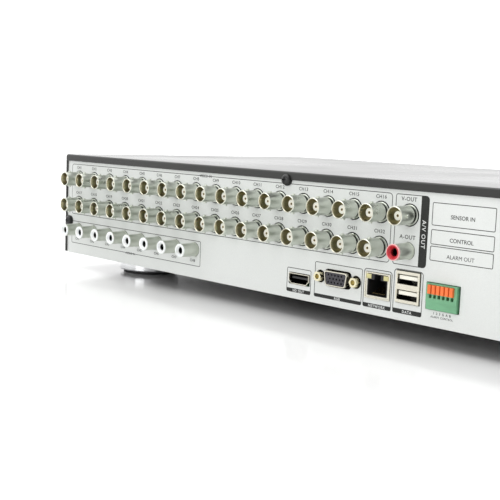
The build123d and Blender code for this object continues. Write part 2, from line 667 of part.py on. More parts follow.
with BuildPart() as network_insert:
    with BuildSketch(REAR.offset(NETWORK_FRONT - 0.3)):
        with Locations(NETWORK_PORT):
            Rectangle(*NETWORK_BODY)
        with Locations(NETWORK_MOUTH_AT):
            Rectangle(*NETWORK_MOUTH, mode=Mode.SUBTRACT)
            with Locations((0, NETWORK_MOUTH[1] / 2 + KEYWAY[1] / 2)):
                Rectangle(KEYWAY[0], KEYWAY[1] + 0.2, mode=Mode.SUBTRACT)
    extrude(amount=NETWORK_BACK + 2.0 - NETWORK_FRONT)
    with BuildSketch(REAR.offset(NETWORK_FLOOR)):
        with Locations(NETWORK_PORT):
            Rectangle(*NETWORK_BODY)
    extrude(amount=-2.0)
    with BuildSketch(REAR.offset(NETWORK_FRONT)):
        with Locations(*light_places):
            Rectangle(*LIGHT_SIZE)
    extrude(amount=-5.0, mode=Mode.SUBTRACT)
finish(network_insert, "network_insert")

with BuildPart() as network_lights:
    with BuildSketch(REAR.offset(NETWORK_FRONT - 0.1)):
        with Locations(*light_places):
            Rectangle(LIGHT_SIZE[0] - 0.05, LIGHT_SIZE[1] - 0.05)
    extrude(amount=-LIGHT_DEPTH)
finish(network_lights, "network_lights")

USB_FRONT = 0.8
USB_BACK = -17.0
USB_MOUTH = (12.5, 5.1)
USB_STEP = 7.9
USB_TONGUE = (11.2, 1.9)
USB_TONGUE_UP = 0.9
USB_TONGUE_LENGTH = 12.0
USB_FLOOR = USB_FRONT - 12.5
USB_FLOOR_THICK = 2.5
with BuildPart() as usb_shell:
    with BuildSketch(REAR.offset(USB_FRONT)):
        with Locations(USB_PORT):
            Rectangle(*USB_OUTER)
            with Locations((0, USB_STEP / 2), (0, -USB_STEP / 2)):
                Rectangle(*USB_MOUTH, mode=Mode.SUBTRACT)
    extrude(amount=USB_BACK - USB_FRONT)
finish(usb_shell, "usb_shell")

with BuildPart() as usb_tongues:
    with BuildSketch(REAR.offset(USB_FRONT - 0.9)):
        with Locations(USB_PORT):
            with Locations((0, USB_STEP / 2 + USB_TONGUE_UP), (0, -USB_STEP / 2 + USB_TONGUE_UP)):
                Rectangle(*USB_TONGUE)
    extrude(amount=-USB_TONGUE_LENGTH)
    with BuildSketch(REAR.offset(USB_FLOOR)):
        with Locations(USB_PORT):
            with Locations((0, USB_STEP / 2), (0, -USB_STEP / 2)):
                Rectangle(USB_MOUTH[0] - 0.1, USB_MOUTH[1] - 0.1)
    extrude(amount=-USB_FLOOR_THICK)
finish(usb_tongues, "usb_tongues")

# ------------------------------------------------------------------ push-in terminal block
TERMINAL_FRONT = 1.6
TERMINAL_BACK = -12.0
LEVER_WIDTH = 1.9
LEVER_HEIGHT = 4.4
LEVER_GAP = 0.1
LEVER_UP = TERMINALS[1] + 3.6
LEVER_TRAVEL = 1.4
LEVER_OUT = 1.6
LEVER_LENGTH = 8.0
LEVER_SLOT = LEVER_LENGTH - LEVER_OUT + LEVER_TRAVEL + 0.7
WIRE_UP = TERMINALS[1] + 0.1
WIRE_MOUTH = (1.7, 1.9)
LABEL_STEP_UP = TERMINALS[1] - 4.6
LABEL_STEP_HEIGHT = 3.8
LABEL_STEP_DEPTH = 0.5
lever_alongs = [TERMINALS[0] + 2.6 + i * LEVER_PITCH for i in range(LEVER_COUNT)]
with BuildPart() as terminal_block:
    with BuildSketch(REAR.offset(TERMINAL_FRONT)):
        with Locations(TERMINAL_MIDDLE):
            Rectangle(TERMINAL_WIDTH, TERMINAL_HEIGHT)
    extrude(amount=TERMINAL_BACK - TERMINAL_FRONT)
    with BuildSketch(REAR.offset(TERMINAL_FRONT)):
        with Locations(*[(along, LEVER_UP) for along in lever_alongs]):
            Rectangle(LEVER_WIDTH + 2 * LEVER_GAP, LEVER_HEIGHT + 2 * LEVER_GAP)
        with Locations(*[(along, WIRE_UP) for along in lever_alongs]):
            RectangleRounded(*WIRE_MOUTH, 0.6)
    extrude(amount=-LEVER_SLOT, mode=Mode.SUBTRACT)
    with BuildSketch(REAR.offset(TERMINAL_FRONT)):
        with Locations((TERMINAL_MIDDLE[0], LABEL_STEP_UP)):
            Rectangle(TERMINAL_WIDTH, LABEL_STEP_HEIGHT)
    extrude(amount=-LABEL_STEP_DEPTH, mode=Mode.SUBTRACT)
finish(terminal_block, "terminal_block")

for number, along in enumerate(lever_alongs, start=1):
    with BuildPart() as terminal_lever:
        with BuildSketch(REAR.offset(TERMINAL_FRONT + LEVER_OUT)):
            with Locations((along, LEVER_UP)):
                Rectangle(LEVER_WIDTH, LEVER_HEIGHT)
        extrude(amount=-LEVER_LENGTH)
        front_edges = terminal_lever.faces().sort_by(Axis.Y)[-1].edges()
        fillet(front_edges, radius=0.35)
    finish(terminal_lever, "terminal_lever_" + str(number))

# ================================================================== mains inlet and switch
INLET_FLANGE = (48.0, 22.5)
INLET_FLANGE_OUT = 2.4
INLET_CAVITY = (24.3, 16.4)
INLET_DEPTH = 15.5
INLET_CUT = 4.4
INLET_BACK = -16.0
BLADE = (2.0, 4.0)
BLADE_STEP = 7.0
BLADE_SLOT_DEPTH = 4.0
blade_places = [
    (INLET[0] - BLADE_STEP, INLET[1] - 1.5),
    (INLET[0], INLET[1] + 2.5),
    (INLET[0] + BLADE_STEP, INLET[1] - 1.5),
]
with BuildPart() as mains_inlet:
    with BuildSketch(REAR.offset(INLET_FLANGE_OUT)):
        with Locations(INLET):
            RectangleRounded(*INLET_FLANGE, 3.0)
        with Locations(*inlet_screws):
            Circle(SCREW_HOLE, mode=Mode.SUBTRACT)
    extrude(amount=-INLET_FLANGE_OUT)
    with BuildSketch(REAR):
        with Locations(INLET):
            Rectangle(*INLET_BODY)
    extrude(amount=INLET_BACK)
    with BuildSketch(REAR.offset(INLET_FLANGE_OUT)):
        with Locations(INLET):
            Rectangle(*INLET_CAVITY)
        upper = vertices().group_by(Axis.Z)[-1]
        chamfer(upper, length=INLET_CUT)
    extrude(amount=-INLET_DEPTH, mode=Mode.SUBTRACT)
    with BuildSketch(REAR.offset(INLET_BACK)):
        with Locations(*blade_places):
            Rectangle(*BLADE)
    extrude(amount=BLADE_SLOT_DEPTH, mode=Mode.SUBTRACT)
finish(mains_inlet, "mains_inlet")

BLADE_BACK = INLET_BACK - 7.0
BLADE_FRONT = -2.0
with BuildPart() as inlet_blades:
    with BuildSketch(REAR.offset(BLADE_BACK)):
        with Locations(*blade_places):
            Rectangle(*BLADE)
    extrude(amount=BLADE_FRONT - BLADE_BACK)
    chamfer(inlet_blades.faces().filter_by(Axis.Y).group_by(Axis.Y)[-1].edges(), length=0.6)
finish(inlet_blades, "inlet_blades")

SWITCH_FLANGE = (15.0, 21.0)
SWITCH_OUT = 1.6
SWITCH_BACK = -14.0
SWITCH_OPENING = (9.4, 17.2)
SWITCH_DEPTH = 10.0
PIVOT_IN = -2.0
PIVOT_RADIUS = 1.0
PIVOT_BORE = 1.05
with BuildPart() as power_switch_frame:
    with BuildSketch(REAR.offset(SWITCH_OUT)):
        with Locations(SWITCH):
            RectangleRounded(*SWITCH_FLANGE, 1.0)
    extrude(amount=-SWITCH_OUT)
    with BuildSketch(REAR):
        with Locations(SWITCH):
            Rectangle(*SWITCH_BODY)
    extrude(amount=SWITCH_BACK)
    with BuildSketch(REAR.offset(SWITCH_OUT)):
        with Locations(SWITCH):
            Rectangle(*SWITCH_OPENING)
    extrude(amount=-SWITCH_DEPTH, mode=Mode.SUBTRACT)
    with Locations(rear_spot(*SWITCH, PIVOT_IN)):
        Cylinder(PIVOT_BORE, SWITCH_BODY[0] + 2, rotation=(0, 90, 0), mode=Mode.SUBTRACT)
finish(power_switch_frame, "power_switch_frame")

# The rocker lies at off: its lower end stands out, and the joint brings the upper end out.
ROCKER_WIDTH = 8.8
ROCKER_BACK = (-2.8, 3.2)
ROCKER_EDGE = (0.6, 8.0)
ROCKER_END = (3.9, 7.6)
ROCKER_DIP = 2.7
pivot = rear_spot(*SWITCH, PIVOT_IN)
tilt = radians(SWITCH_TILT)
rocker_plane = Plane(origin=pivot, x_dir=(0, cos(tilt), sin(tilt)), z_dir=(1, 0, 0))
with BuildPart() as power_rocker:
    with BuildSketch(rocker_plane.offset(-ROCKER_WIDTH / 2)):
        with BuildLine():
            Polyline((ROCKER_BACK[0], -ROCKER_BACK[1]), ROCKER_BACK, ROCKER_EDGE, ROCKER_END)
            ThreePointArc(ROCKER_END, (ROCKER_DIP, 0.0), (ROCKER_END[0], -ROCKER_END[1]))
            Polyline(
                (ROCKER_END[0], -ROCKER_END[1]),
                (ROCKER_EDGE[0], -ROCKER_EDGE[1]),
                (ROCKER_BACK[0], -ROCKER_BACK[1]),
            )
        make_face()
    extrude(amount=ROCKER_WIDTH)
    with Locations(pivot):
        Cylinder(PIVOT_RADIUS, SWITCH_BODY[0] - 0.4, rotation=(0, 90, 0))
finish(power_rocker, "power_rocker")

# ================================================================== fan
FAN_DEPTH = 20.0
FAN_PLANE = Plane(origin=rear_spot(*FAN), x_dir=(-1, 0, 0), z_dir=(0, 1, 0))
FAN_BORE = 18.8
HUB_RADIUS = 9.0
FAN_SHAFT = 1.5
FAN_BEARING = 1.55
BLADE_TIP = 18.0
FAN_BLADES = 7
FAN_PITCH = 50.0
FAN_BLADE = (11.0, 1.1)
STRUT_WIDTH = 2.2
FAN_BACK = -SHEET - FAN_DEPTH
FAN_BACK_THICK = 2.0
BEARING_POST = 3.0
BEARING_LENGTH = 10.5
COIL_RADIUS = 6.8
COIL_LENGTH = 7.0
BEARING_DEPTH = 14.0
with BuildPart() as fan_frame:
    with BuildSketch(FAN_PLANE.offset(-SHEET)):
        RectangleRounded(FAN_SIZE, FAN_SIZE, 3.0)
        Circle(FAN_BORE, mode=Mode.SUBTRACT)
        with GridLocations(FAN_SCREW_STEP, FAN_SCREW_STEP, 2, 2):
            Circle(SCREW_HOLE, mode=Mode.SUBTRACT)
    extrude(amount=-FAN_DEPTH)
    with BuildSketch(FAN_PLANE.offset(FAN_BACK)):
        Circle(HUB_RADIUS)
        with PolarLocations(FAN_BORE / 2 + 4.0, 4, start_angle=45):
            Rectangle(FAN_BORE - 7.0, STRUT_WIDTH)
    extrude(amount=FAN_BACK_THICK)
    with BuildSketch(FAN_PLANE.offset(FAN_BACK + FAN_BACK_THICK)):
        Circle(BEARING_POST)
    extrude(amount=BEARING_LENGTH)
    with BuildSketch(FAN_PLANE.offset(FAN_BACK + FAN_BACK_THICK + 1.0)):
        Circle(COIL_RADIUS)
    extrude(amount=COIL_LENGTH)
    with BuildSketch(FAN_PLANE.offset(FAN_BACK + 1.0)):
        Circle(FAN_BEARING)
    extrude(amount=BEARING_DEPTH, mode=Mode.SUBTRACT)
finish(fan_frame, "fan_frame")

HUB_FRONT = -3.0
HUB_LENGTH = 14.5
HUB_WALL = 1.0
HUB_CAP = 1.2
HUB_ROUND = 0.8
SHAFT_LENGTH = 14.8
with BuildPart() as fan_rotor:
    with BuildSketch(FAN_PLANE.offset(HUB_FRONT)):
        Circle(HUB_RADIUS)
    extrude(amount=-HUB_LENGTH)
    fillet(fan_rotor.faces().sort_by(Axis.Y)[-1].edges(), radius=HUB_ROUND)
    with BuildSketch(FAN_PLANE.offset(HUB_FRONT - HUB_CAP)):
        Circle(HUB_RADIUS - HUB_WALL)
    extrude(amount=-HUB_LENGTH, mode=Mode.SUBTRACT)
    with BuildSketch(FAN_PLANE.offset(HUB_FRONT - HUB_WALL)):
        Circle(FAN_SHAFT)
    extrude(amount=-SHAFT_LENGTH)
    for turn in range(FAN_BLADES):
        angle = radians(turn * 360 / FAN_BLADES)
        outward = Vector(cos(angle), 0, sin(angle))
        root = Vector(*rear_spot(*FAN, HUB_FRONT - HUB_LENGTH / 2 + 0.05)) + outward * (HUB_RADIUS - 0.5)
        with BuildSketch(Plane(origin=root, x_dir=(0, 1, 0), z_dir=outward)):
            Rectangle(*FAN_BLADE, rotation=FAN_PITCH)
        extrude(amount=BLADE_TIP - HUB_RADIUS)
finish(fan_rotor, "fan_rotor")

GUARD_WIRE = 0.75
GUARD_RINGS = (5.5, 11.0, 16.5)
GUARD_SPAN = FAN_SCREW_STEP / 2 * 2**0.5
GUARD_EYE = 2.5
with BuildPart() as fan_guard:
    with Locations(rear_spot(*FAN, 2.5 * GUARD_WIRE)):
        for ring in GUARD_RINGS:
            Torus(ring, GUARD_WIRE, rotation=(90, 0, 0))
    with Locations(*[rear_spot(*place, GUARD_WIRE) for place in fan_screws]):
        Torus(GUARD_EYE, GUARD_WIRE, rotation=(90, 0, 0))
    with Locations(rear_spot(*FAN, GUARD_WIRE)):
        for side in (-1, 1):
            for turn in (45, 135):
                arm_middle = (GUARD_SPAN - 2.4 + GUARD_RINGS[0]) / 2
                arm_length = GUARD_SPAN - 2.0 - GUARD_RINGS[0]
                arm = Location((0, 0, 0), (0, turn, 0)) * Location((0, 0, side * arm_middle))
                with Locations(arm):
                    Cylinder(GUARD_WIRE, arm_length)
finish(fan_guard, "fan_guard")

# ================================================================== front bezel and buttons
BEZEL_WALL = 2.5
BEZEL_TOP = BODY_TOP - 0.2
BEZEL_HEIGHT = BEZEL_TOP - FOOT_HEIGHT
BEZEL_MIDDLE_Z = FOOT_HEIGHT + BEZEL_HEIGHT / 2
BEZEL_DEPTH = COVER_FRONT_Y - BEZEL_FACE_Y
BUTTON_GAP = 0.3
WINDOW_SIZE = (150.0, 30.0)
WINDOW_AT = (-95.0, 46.0)
WINDOW_THICK = 1.5
KEY = (8.0, 8.0)
KEY_STEP = 11.5
KEY_MIDDLE = (160.0, 46.0)
WIDE_KEY = (16.0, 8.0)
buttons = {
    "power_button": (-196.0, 46.0, 14.0, 14.0),
    "menu_button": (118.0, 53.0, *WIDE_KEY),
    "back_button": (118.0, 39.0, *WIDE_KEY),
    "enter_button": (*KEY_MIDDLE, *KEY),
    "up_button": (KEY_MIDDLE[0], KEY_MIDDLE[1] + KEY_STEP, *KEY),
    "down_button": (KEY_MIDDLE[0], KEY_MIDDLE[1] - KEY_STEP, *KEY),
    "left_button": (KEY_MIDDLE[0] - KEY_STEP, KEY_MIDDLE[1], *KEY),
    "right_button": (KEY_MIDDLE[0] + KEY_STEP, KEY_MIDDLE[1], *KEY),
}
with BuildPart() as front_bezel:
    with BuildSketch(FRONT.offset(-COVER_FRONT_Y)):
        with Locations((0, BEZEL_MIDDLE_Z)):
            Rectangle(CASE_WIDTH, BEZEL_HEIGHT)
    extrude(amount=BEZEL_DEPTH)
    fillet(front_bezel.edges().filter_by(Axis.Z).group_by(Axis.Y)[0], radius=6.0)
    fillet(front_bezel.faces().sort_by(Axis.Y)[0].edges(), radius=1.5)
    with BuildSketch(FRONT.offset(-COVER_FRONT_Y)):
        with Locations((0, BEZEL_MIDDLE_Z)):
            RectangleRounded(CASE_WIDTH - 2 * BEZEL_WALL, BEZEL_HEIGHT - 2 * BEZEL_WALL, 2.0)
    extrude(amount=BEZEL_DEPTH - BEZEL_WALL, mode=Mode.SUBTRACT)
    with BuildSketch(FRONT.offset(-BEZEL_FACE_Y)):
        for x, z, width, height in buttons.values():
            with Locations((x, z)):
                RectangleRounded(width + 2 * BUTTON_GAP, height + 2 * BUTTON_GAP, 1.5)
        with Locations(WINDOW_AT):
            RectangleRounded(WINDOW_SIZE[0] - 8.0, WINDOW_SIZE[1] - 8.0, 2.0)
    extrude(amount=-BEZEL_WALL, mode=Mode.SUBTRACT)
    with BuildSketch(FRONT.offset(-BEZEL_FACE_Y)):
        with Locations(WINDOW_AT):
            RectangleRounded(*WINDOW_SIZE, 3.0)
    extrude(amount=-WINDOW_THICK, mode=Mode.SUBTRACT)
finish(front_bezel, "front_bezel")

with BuildPart() as front_window:
    with BuildSketch(FRONT.offset(-BEZEL_FACE_Y)):
        with Locations(WINDOW_AT):
            RectangleRounded(WINDOW_SIZE[0] - 0.1, WINDOW_SIZE[1] - 0.1, 2.95)
    extrude(amount=-WINDOW_THICK)
    fillet(front_window.faces().sort_by(Axis.Y)[0].edges(), radius=0.3)
finish(front_window, "front_window")

FRONT_BOARD_Y = -127.6
TACT_HEIGHT = 3.5
TACT_STEM = 0.5
BUTTON_FACE_Y = BEZEL_FACE_Y - BUTTON_PROUD
COLLAR_FRONT_Y = BEZEL_FACE_Y + BEZEL_WALL + BUTTON_GAP
COLLAR_THICK = 1.0
STEM_END_Y = FRONT_BOARD_Y - TACT_HEIGHT - TACT_STEM - BUTTON_TRAVEL - BUTTON_GAP
for name, (x, z, width, height) in buttons.items():
    with BuildPart() as button:
        with BuildSketch(FRONT.offset(-BUTTON_FACE_Y)):
            with Locations((x, z)):
                RectangleRounded(width, height, 1.2)
        extrude(amount=BUTTON_FACE_Y - COLLAR_FRONT_Y)
        fillet(button.faces().sort_by(Axis.Y)[0].edges(), radius=0.5)
        with BuildSketch(FRONT.offset(-COLLAR_FRONT_Y)):
            with Locations((x, z)):
                Rectangle(width + 2.0, height + 2.0)
        extrude(amount=-COLLAR_THICK)
        with BuildSketch(FRONT.offset(-COLLAR_FRONT_Y - COLLAR_THICK)):
            with Locations((x, z)):
                Circle(1.6)
        extrude(amount=COLLAR_FRONT_Y + COLLAR_THICK - STEM_END_Y)
    finish(button, name)

front_board_holes = [(x, z) for x in (-205.0, -20.0, 90.0, 185.0) for z in (30.0, 66.0)]
with BuildPart() as front_board:
    with BuildSketch(FRONT.offset(-FRONT_BOARD_Y)):
        with Locations((-10.0, 47.0)):
            RectangleRounded(404.0, 48.0, 2.0)
        with Locations(*front_board_holes):
            Circle(SCREW_HOLE, mode=Mode.SUBTRACT)
    extrude(amount=-BOARD)
finish(front_board, "front_board")

with BuildPart() as front_switches:
    with BuildSketch(FRONT.offset(-FRONT_BOARD_Y)):
        for x, z, width, height in buttons.values():
            with Locations((x, z)):
                Rectangle(6.0, 6.0)
    extrude(amount=TACT_HEIGHT)
    with BuildSketch(FRONT.offset(TACT_HEIGHT - FRONT_BOARD_Y)):
        for x, z, width, height in buttons.values():
            with Locations((x, z)):
                Circle(1.7)
    extrude(amount=TACT_STEM)
finish(front_switches, "front_switches")

# ================================================================== main board
MAIN_BOARD_X = (FIRST_JACK_X - 324.0, FIRST_JACK_X - 120.0)
MAIN_BOARD_Y = (PANEL_Y - 86.0, PANEL_Y - 1.6)
main_board_holes = [
    (x, y)
    for x in (MAIN_BOARD_X[0] + 5, (MAIN_BOARD_X[0] + MAIN_BOARD_X[1]) / 2, MAIN_BOARD_X[1] - 5)
    for y in (MAIN_BOARD_Y[0] + 5, MAIN_BOARD_Y[1] - 22)
]
with BuildPart() as main_board:
    with BuildSketch(Plane.XY.offset(MAIN_BOARD_TOP)):
        with Locations((sum(MAIN_BOARD_X) / 2, sum(MAIN_BOARD_Y) / 2)):
            Rectangle(MAIN_BOARD_X[1] - MAIN_BOARD_X[0], MAIN_BOARD_Y[1] - MAIN_BOARD_Y[0])
        with Locations(*main_board_holes):
            Circle(SCREW_HOLE, mode=Mode.SUBTRACT)
    extrude(amount=-BOARD)
finish(main_board, "main_board")

PROCESSOR_AT = (-40.0, 82.0)
chips = [
    (*PROCESSOR_AT, 27.0, 2.0),
    (20.0, 86.0, 20.0, 1.6),
    (48.0, 60.0, 20.0, 1.6),
    (-88.0, 88.0, 14.0, 1.4),
]
memory_chips = [(-66.0, 70.0), (-66.0, 86.0), (-8.0, 72.0), (-8.0, 92.0)]
board_cans = [(-104.0, 56.0), (-92.0, 56.0), (-80.0, 56.0), (68.0, 92.0), (68.0, 78.0)]
drive_sockets = [(46.0, 56.0), (70.0, 56.0)]
power_socket = (-100.0, 74.0)
fan_socket = (-104.0, 92.0)
front_socket = (front_lead_spot[0], 56.0)
SOCKET_HEIGHT = 9.0
SOCKET_SIZE = (14.0, 7.0)
SMALL_SOCKET_SIZE = (12.0, 8.0)
MEMORY_SIZE = (10.0, 13.0)
MEMORY_HEIGHT = 1.2
CAN_RADIUS = 4.0
CAN_HEIGHT = 12.0
with BuildPart() as board_parts:
    with BuildSketch(Plane.XY.offset(MAIN_BOARD_TOP)):
        with Locations(*memory_chips):
            Rectangle(*MEMORY_SIZE)
    extrude(amount=MEMORY_HEIGHT)
    for x, y, size, height in chips:
        with Locations((x, y, MAIN_BOARD_TOP + height / 2)):
            Box(size, size, height)
    with BuildSketch(Plane.XY.offset(MAIN_BOARD_TOP)):
        with Locations(*board_cans):
            Circle(CAN_RADIUS)
    extrude(amount=CAN_HEIGHT)
    with BuildSketch(Plane.XY.offset(MAIN_BOARD_TOP)):
        with Locations(*drive_sockets, front_socket):
            Rectangle(*SOCKET_SIZE)
        with Locations(power_socket, fan_socket):
            Rectangle(*SMALL_SOCKET_SIZE)
    extrude(amount=SOCKET_HEIGHT)
finish(board_parts, "board_parts")

SINK_SIZE = 36.0
SINK_BASE = MAIN_BOARD_TOP + 2.0
SINK_PLATE = 3.0
FIN_COUNT = 9
FIN = 1.3
FIN_HEIGHT = 14.0
with BuildPart() as heatsink:
    with BuildSketch(Plane.XY.offset(SINK_BASE)):
        with Locations(PROCESSOR_AT):
            Rectangle(SINK_SIZE, SINK_SIZE)
    extrude(amount=SINK_PLATE)
    with BuildSketch(Plane.XY.offset(SINK_BASE + SINK_PLATE)):
        with Locations(PROCESSOR_AT):
            with GridLocations(SINK_SIZE / FIN_COUNT, 0.0, FIN_COUNT, 1):
                Rectangle(FIN, SINK_SIZE)
    extrude(amount=FIN_HEIGHT)
finish(heatsink, "heatsink")

# ================================================================== drives
DRIVE = (101.6, 147.0, 26.1)
DRIVE_Y = (-112.0, 35.0)
DRIVE_MIDDLE_Y = sum(DRIVE_Y) / 2
DRIVE_BOTTOM = 20.0
DRIVE_LID = 2.0
drive_middles = [156.0, 46.0]
DRIVE_HOLE_OUT = (41.0, 38.0)
drive_holes = [
    (middle + i * DRIVE_HOLE_OUT[0], DRIVE_MIDDLE_Y + j * DRIVE_HOLE_OUT[1])
    for middle in drive_middles
    for i in (-1, 1)
    for j in (-1, 1)
]
with BuildPart() as hard_drives:
    with BuildSketch(Plane.XY.offset(DRIVE_BOTTOM)):
        for middle in drive_middles:
            with Locations((middle, DRIVE_MIDDLE_Y)):
                RectangleRounded(DRIVE[0], DRIVE[1], 2.0)
    extrude(amount=DRIVE[2] - DRIVE_LID)
    with BuildSketch(Plane.XY.offset(DRIVE_BOTTOM + DRIVE[2] - DRIVE_LID)):
        for middle in drive_middles:
            with Locations((middle, DRIVE_MIDDLE_Y)):
                RectangleRounded(DRIVE[0] - 6.0, DRIVE[1] - 8.0, 8.0)
    extrude(amount=DRIVE_LID)
    with BuildSketch(Plane.XY.offset(DRIVE_BOTTOM)):
        with Locations(*drive_holes):
            Circle(SCREW_HOLE)
    extrude(amount=7.0, mode=Mode.SUBTRACT)
finish(hard_drives, "hard_drives")

TRAY_X = (-8.0, 210.0)
TRAY_TOP = DRIVE_BOTTOM
with BuildPart() as drive_bracket:
    with BuildSketch(Plane.XY.offset(TRAY_TOP)):
        with Locations((sum(TRAY_X) / 2, DRIVE_MIDDLE_Y)):
            Rectangle(TRAY_X[1] - TRAY_X[0], DRIVE[1])
        with Locations(*drive_holes):
            Circle(SCREW_HOLE, mode=Mode.SUBTRACT)
    extrude(amount=-SHEET)
    with BuildSketch(Plane.XY.offset(FLOOR_TOP)):
        for x in (TRAY_X[0] + SHEET / 2, 101.0, TRAY_X[1] - SHEET / 2):
            with Locations((x, DRIVE_MIDDLE_Y)):
                Rectangle(SHEET, DRIVE[1])
    extrude(amount=TRAY_TOP - SHEET - FLOOR_TOP)
finish(drive_bracket, "drive_bracket")

# ================================================================== power supply
SUPPLY_X = (-212.0, -128.0)
SUPPLY_Y = (-50.0, 84.0)
SUPPLY_Z = (FLOOR_TOP, 54.0)
supply_middle = (sum(SUPPLY_X) / 2, sum(SUPPLY_Y) / 2)
with BuildPart() as power_supply:
    with BuildSketch(Plane.XY.offset(SUPPLY_Z[0])):
        with Locations(supply_middle):
            Rectangle(SUPPLY_X[1] - SUPPLY_X[0], SUPPLY_Y[1] - SUPPLY_Y[0])
    extrude(amount=SUPPLY_Z[1] - SUPPLY_Z[0])
    fillet(power_supply.edges().filter_by(Axis.Y).group_by(Axis.Z)[-1], radius=1.5)
    with BuildSketch(Plane.XY.offset(SUPPLY_Z[1])):
        with Locations(supply_middle):
            with GridLocations(7.0, 0.0, 9, 1):
                SlotOverall(60.0, 3.0, rotation=90)
    extrude(amount=-1.0, mode=Mode.SUBTRACT)
finish(power_supply, "power_supply")

# ================================================================== spacers and screws
SPACER_RADIUS = 2.9
SPACER_BORE = 1.55
BOARD_BOTTOM = MAIN_BOARD_TOP - BOARD
with BuildPart() as board_spacers:
    with BuildSketch(Plane.XY.offset(FLOOR_TOP)):
        with Locations(*main_board_holes):
            RegularPolygon(SPACER_RADIUS, 6, major_radius=False)
            Circle(SPACER_BORE, mode=Mode.SUBTRACT)
    extrude(amount=BOARD_BOTTOM - FLOOR_TOP)
    with BuildSketch(FRONT.offset(-COVER_FRONT_Y)):
        with Locations(*front_board_holes):
            RegularPolygon(SPACER_RADIUS, 6, major_radius=False)
            Circle(SPACER_BORE, mode=Mode.SUBTRACT)
    extrude(amount=COVER_FRONT_Y - FRONT_BOARD_Y - BOARD)
finish(board_spacers, "board_spacers")

cover_screw = make_pan_screw(7.0)
fan_screw = make_pan_screw(14.0)
inlet_screw = make_pan_screw(8.0)
board_screw = make_pan_screw(5.0)
drive_screw = make_pan_screw(5.5, head=2.8, head_height=1.8)
with BuildPart() as case_screws:
    with Locations(*[rear_spot(*place, SHEET) for place in cover_screws]):
        add(cover_screw)
    with Locations(*[rear_spot(*place, 2 * GUARD_WIRE) for place in fan_screws]):
        add(fan_screw)
    with Locations(*[rear_spot(*place, INLET_FLANGE_OUT) for place in inlet_screws]):
        add(inlet_screw)
finish(case_screws, "case_screws")

FOOT_SHANK = (2.0, 11.0)
FOOT_HEAD = (3.9, 2.0)
FOOT_SLOT = (5.2, 0.8, 3.2)
with BuildPart() as foot_screw:
    Cylinder(*FOOT_SHANK, align=(Align.CENTER, Align.CENTER, Align.MIN))
    Cylinder(*FOOT_HEAD, align=(Align.CENTER, Align.CENTER, Align.MAX))
    Box(*FOOT_SLOT, mode=Mode.SUBTRACT)
with BuildPart() as inner_screws:
    with Locations(*[Location((x, y, MAIN_BOARD_TOP), (90, 0, 0)) for x, y in main_board_holes]):
        add(board_screw)
    with Locations(*[Location((x, y, TRAY_TOP - SHEET), (-90, 0, 0)) for x, y in drive_holes]):
        add(drive_screw)
    with Locations(*[Location((x, FRONT_BOARD_Y, z), (0, 0, 180)) for x, z in front_board_holes]):
        add(board_screw)
    with Locations(*[(x, y, PAD_TOP) for x, y in foot_spots]):
        add(foot_screw.part)
finish(inner_screws, "inner_screws")

# ================================================================== leads inside the case


def make_lead(points, radius):
    """A round lead that runs through the points, with an arc at each turn."""
    lengths = [(Vector(*b) - Vector(*a)).length for a, b in zip(points, points[1:])]
    bends = [0.45 * min(a, b) for a, b in zip(lengths, lengths[1:])]
    with BuildPart() as lead:
        with BuildLine():
            route = FilletPolyline(*points, radius=bends)
        with BuildSketch(Plane(origin=points[0], z_dir=Vector(*points[1]) - Vector(*points[0]))):
            Circle(radius)
        sweep(path=route)
    return lead.part


SOCKET_TOP = MAIN_BOARD_TOP + SOCKET_HEIGHT
DRIVE_PLUG_Z = DRIVE_BOTTOM + 8.0
near_socket, far_socket = drive_sockets
fan_side = rear_spot(FAN[0] - FAN_SIZE / 2, FAN[1] - 12.0, -16.0)
live_in = rear_spot(SWITCH[0] - 3.5, SWITCH[1], SWITCH_BACK)
live_out = rear_spot(SWITCH[0] + 3.5, SWITCH[1] - 3.0, SWITCH_BACK)
live_blade = rear_spot(*blade_places[2], BLADE_BACK)
lead_routes = [
    [
        (*near_socket, SOCKET_TOP),
        (*near_socket, SOCKET_TOP + 14.0),
        (near_socket[0], 43.0, SOCKET_TOP + 14.0),
        (near_socket[0], 43.0, DRIVE_PLUG_Z),
        (near_socket[0], DRIVE_Y[1], DRIVE_PLUG_Z),
    ],
    [
        (*far_socket, SOCKET_TOP),
        (*far_socket, SOCKET_TOP + 20.0),
        (drive_middles[0], 47.0, SOCKET_TOP + 20.0),
        (drive_middles[0], 47.0, DRIVE_PLUG_Z),
        (drive_middles[0], DRIVE_Y[1], DRIVE_PLUG_Z),
    ],
    [
        (SUPPLY_X[1], power_socket[1], 44.0),
        (power_socket[0], power_socket[1], 44.0),
        (power_socket[0], power_socket[1], SOCKET_TOP),
    ],
    [
        fan_side,
        (fan_side[0] + 14.0, fan_side[1], fan_side[2]),
        (*fan_socket, fan_side[2]),
        (*fan_socket, SOCKET_TOP),
    ],
    [
        (*front_socket, SOCKET_TOP),
        (*front_socket, front_lead_spot[1]),
        (front_lead_spot[0], FRONT_BOARD_Y + BOARD, front_lead_spot[1]),
    ],
    [
        live_blade,
        (live_blade[0], live_blade[1] - 7.0, live_blade[2]),
        (live_in[0], live_blade[1] - 7.0, live_in[2] - 14.0),
        (live_in[0], live_blade[1] - 7.0, live_in[2]),
        live_in,
    ],
    [
        live_out,
        (live_out[0], SUPPLY_Y[1] + 7.0, live_out[2]),
        (live_out[0], SUPPLY_Y[1] + 7.0, live_out[2] - 14.0),
        (live_out[0], SUPPLY_Y[1], live_out[2] - 14.0),
    ],
]
LEAD_RADIUS = 1.3
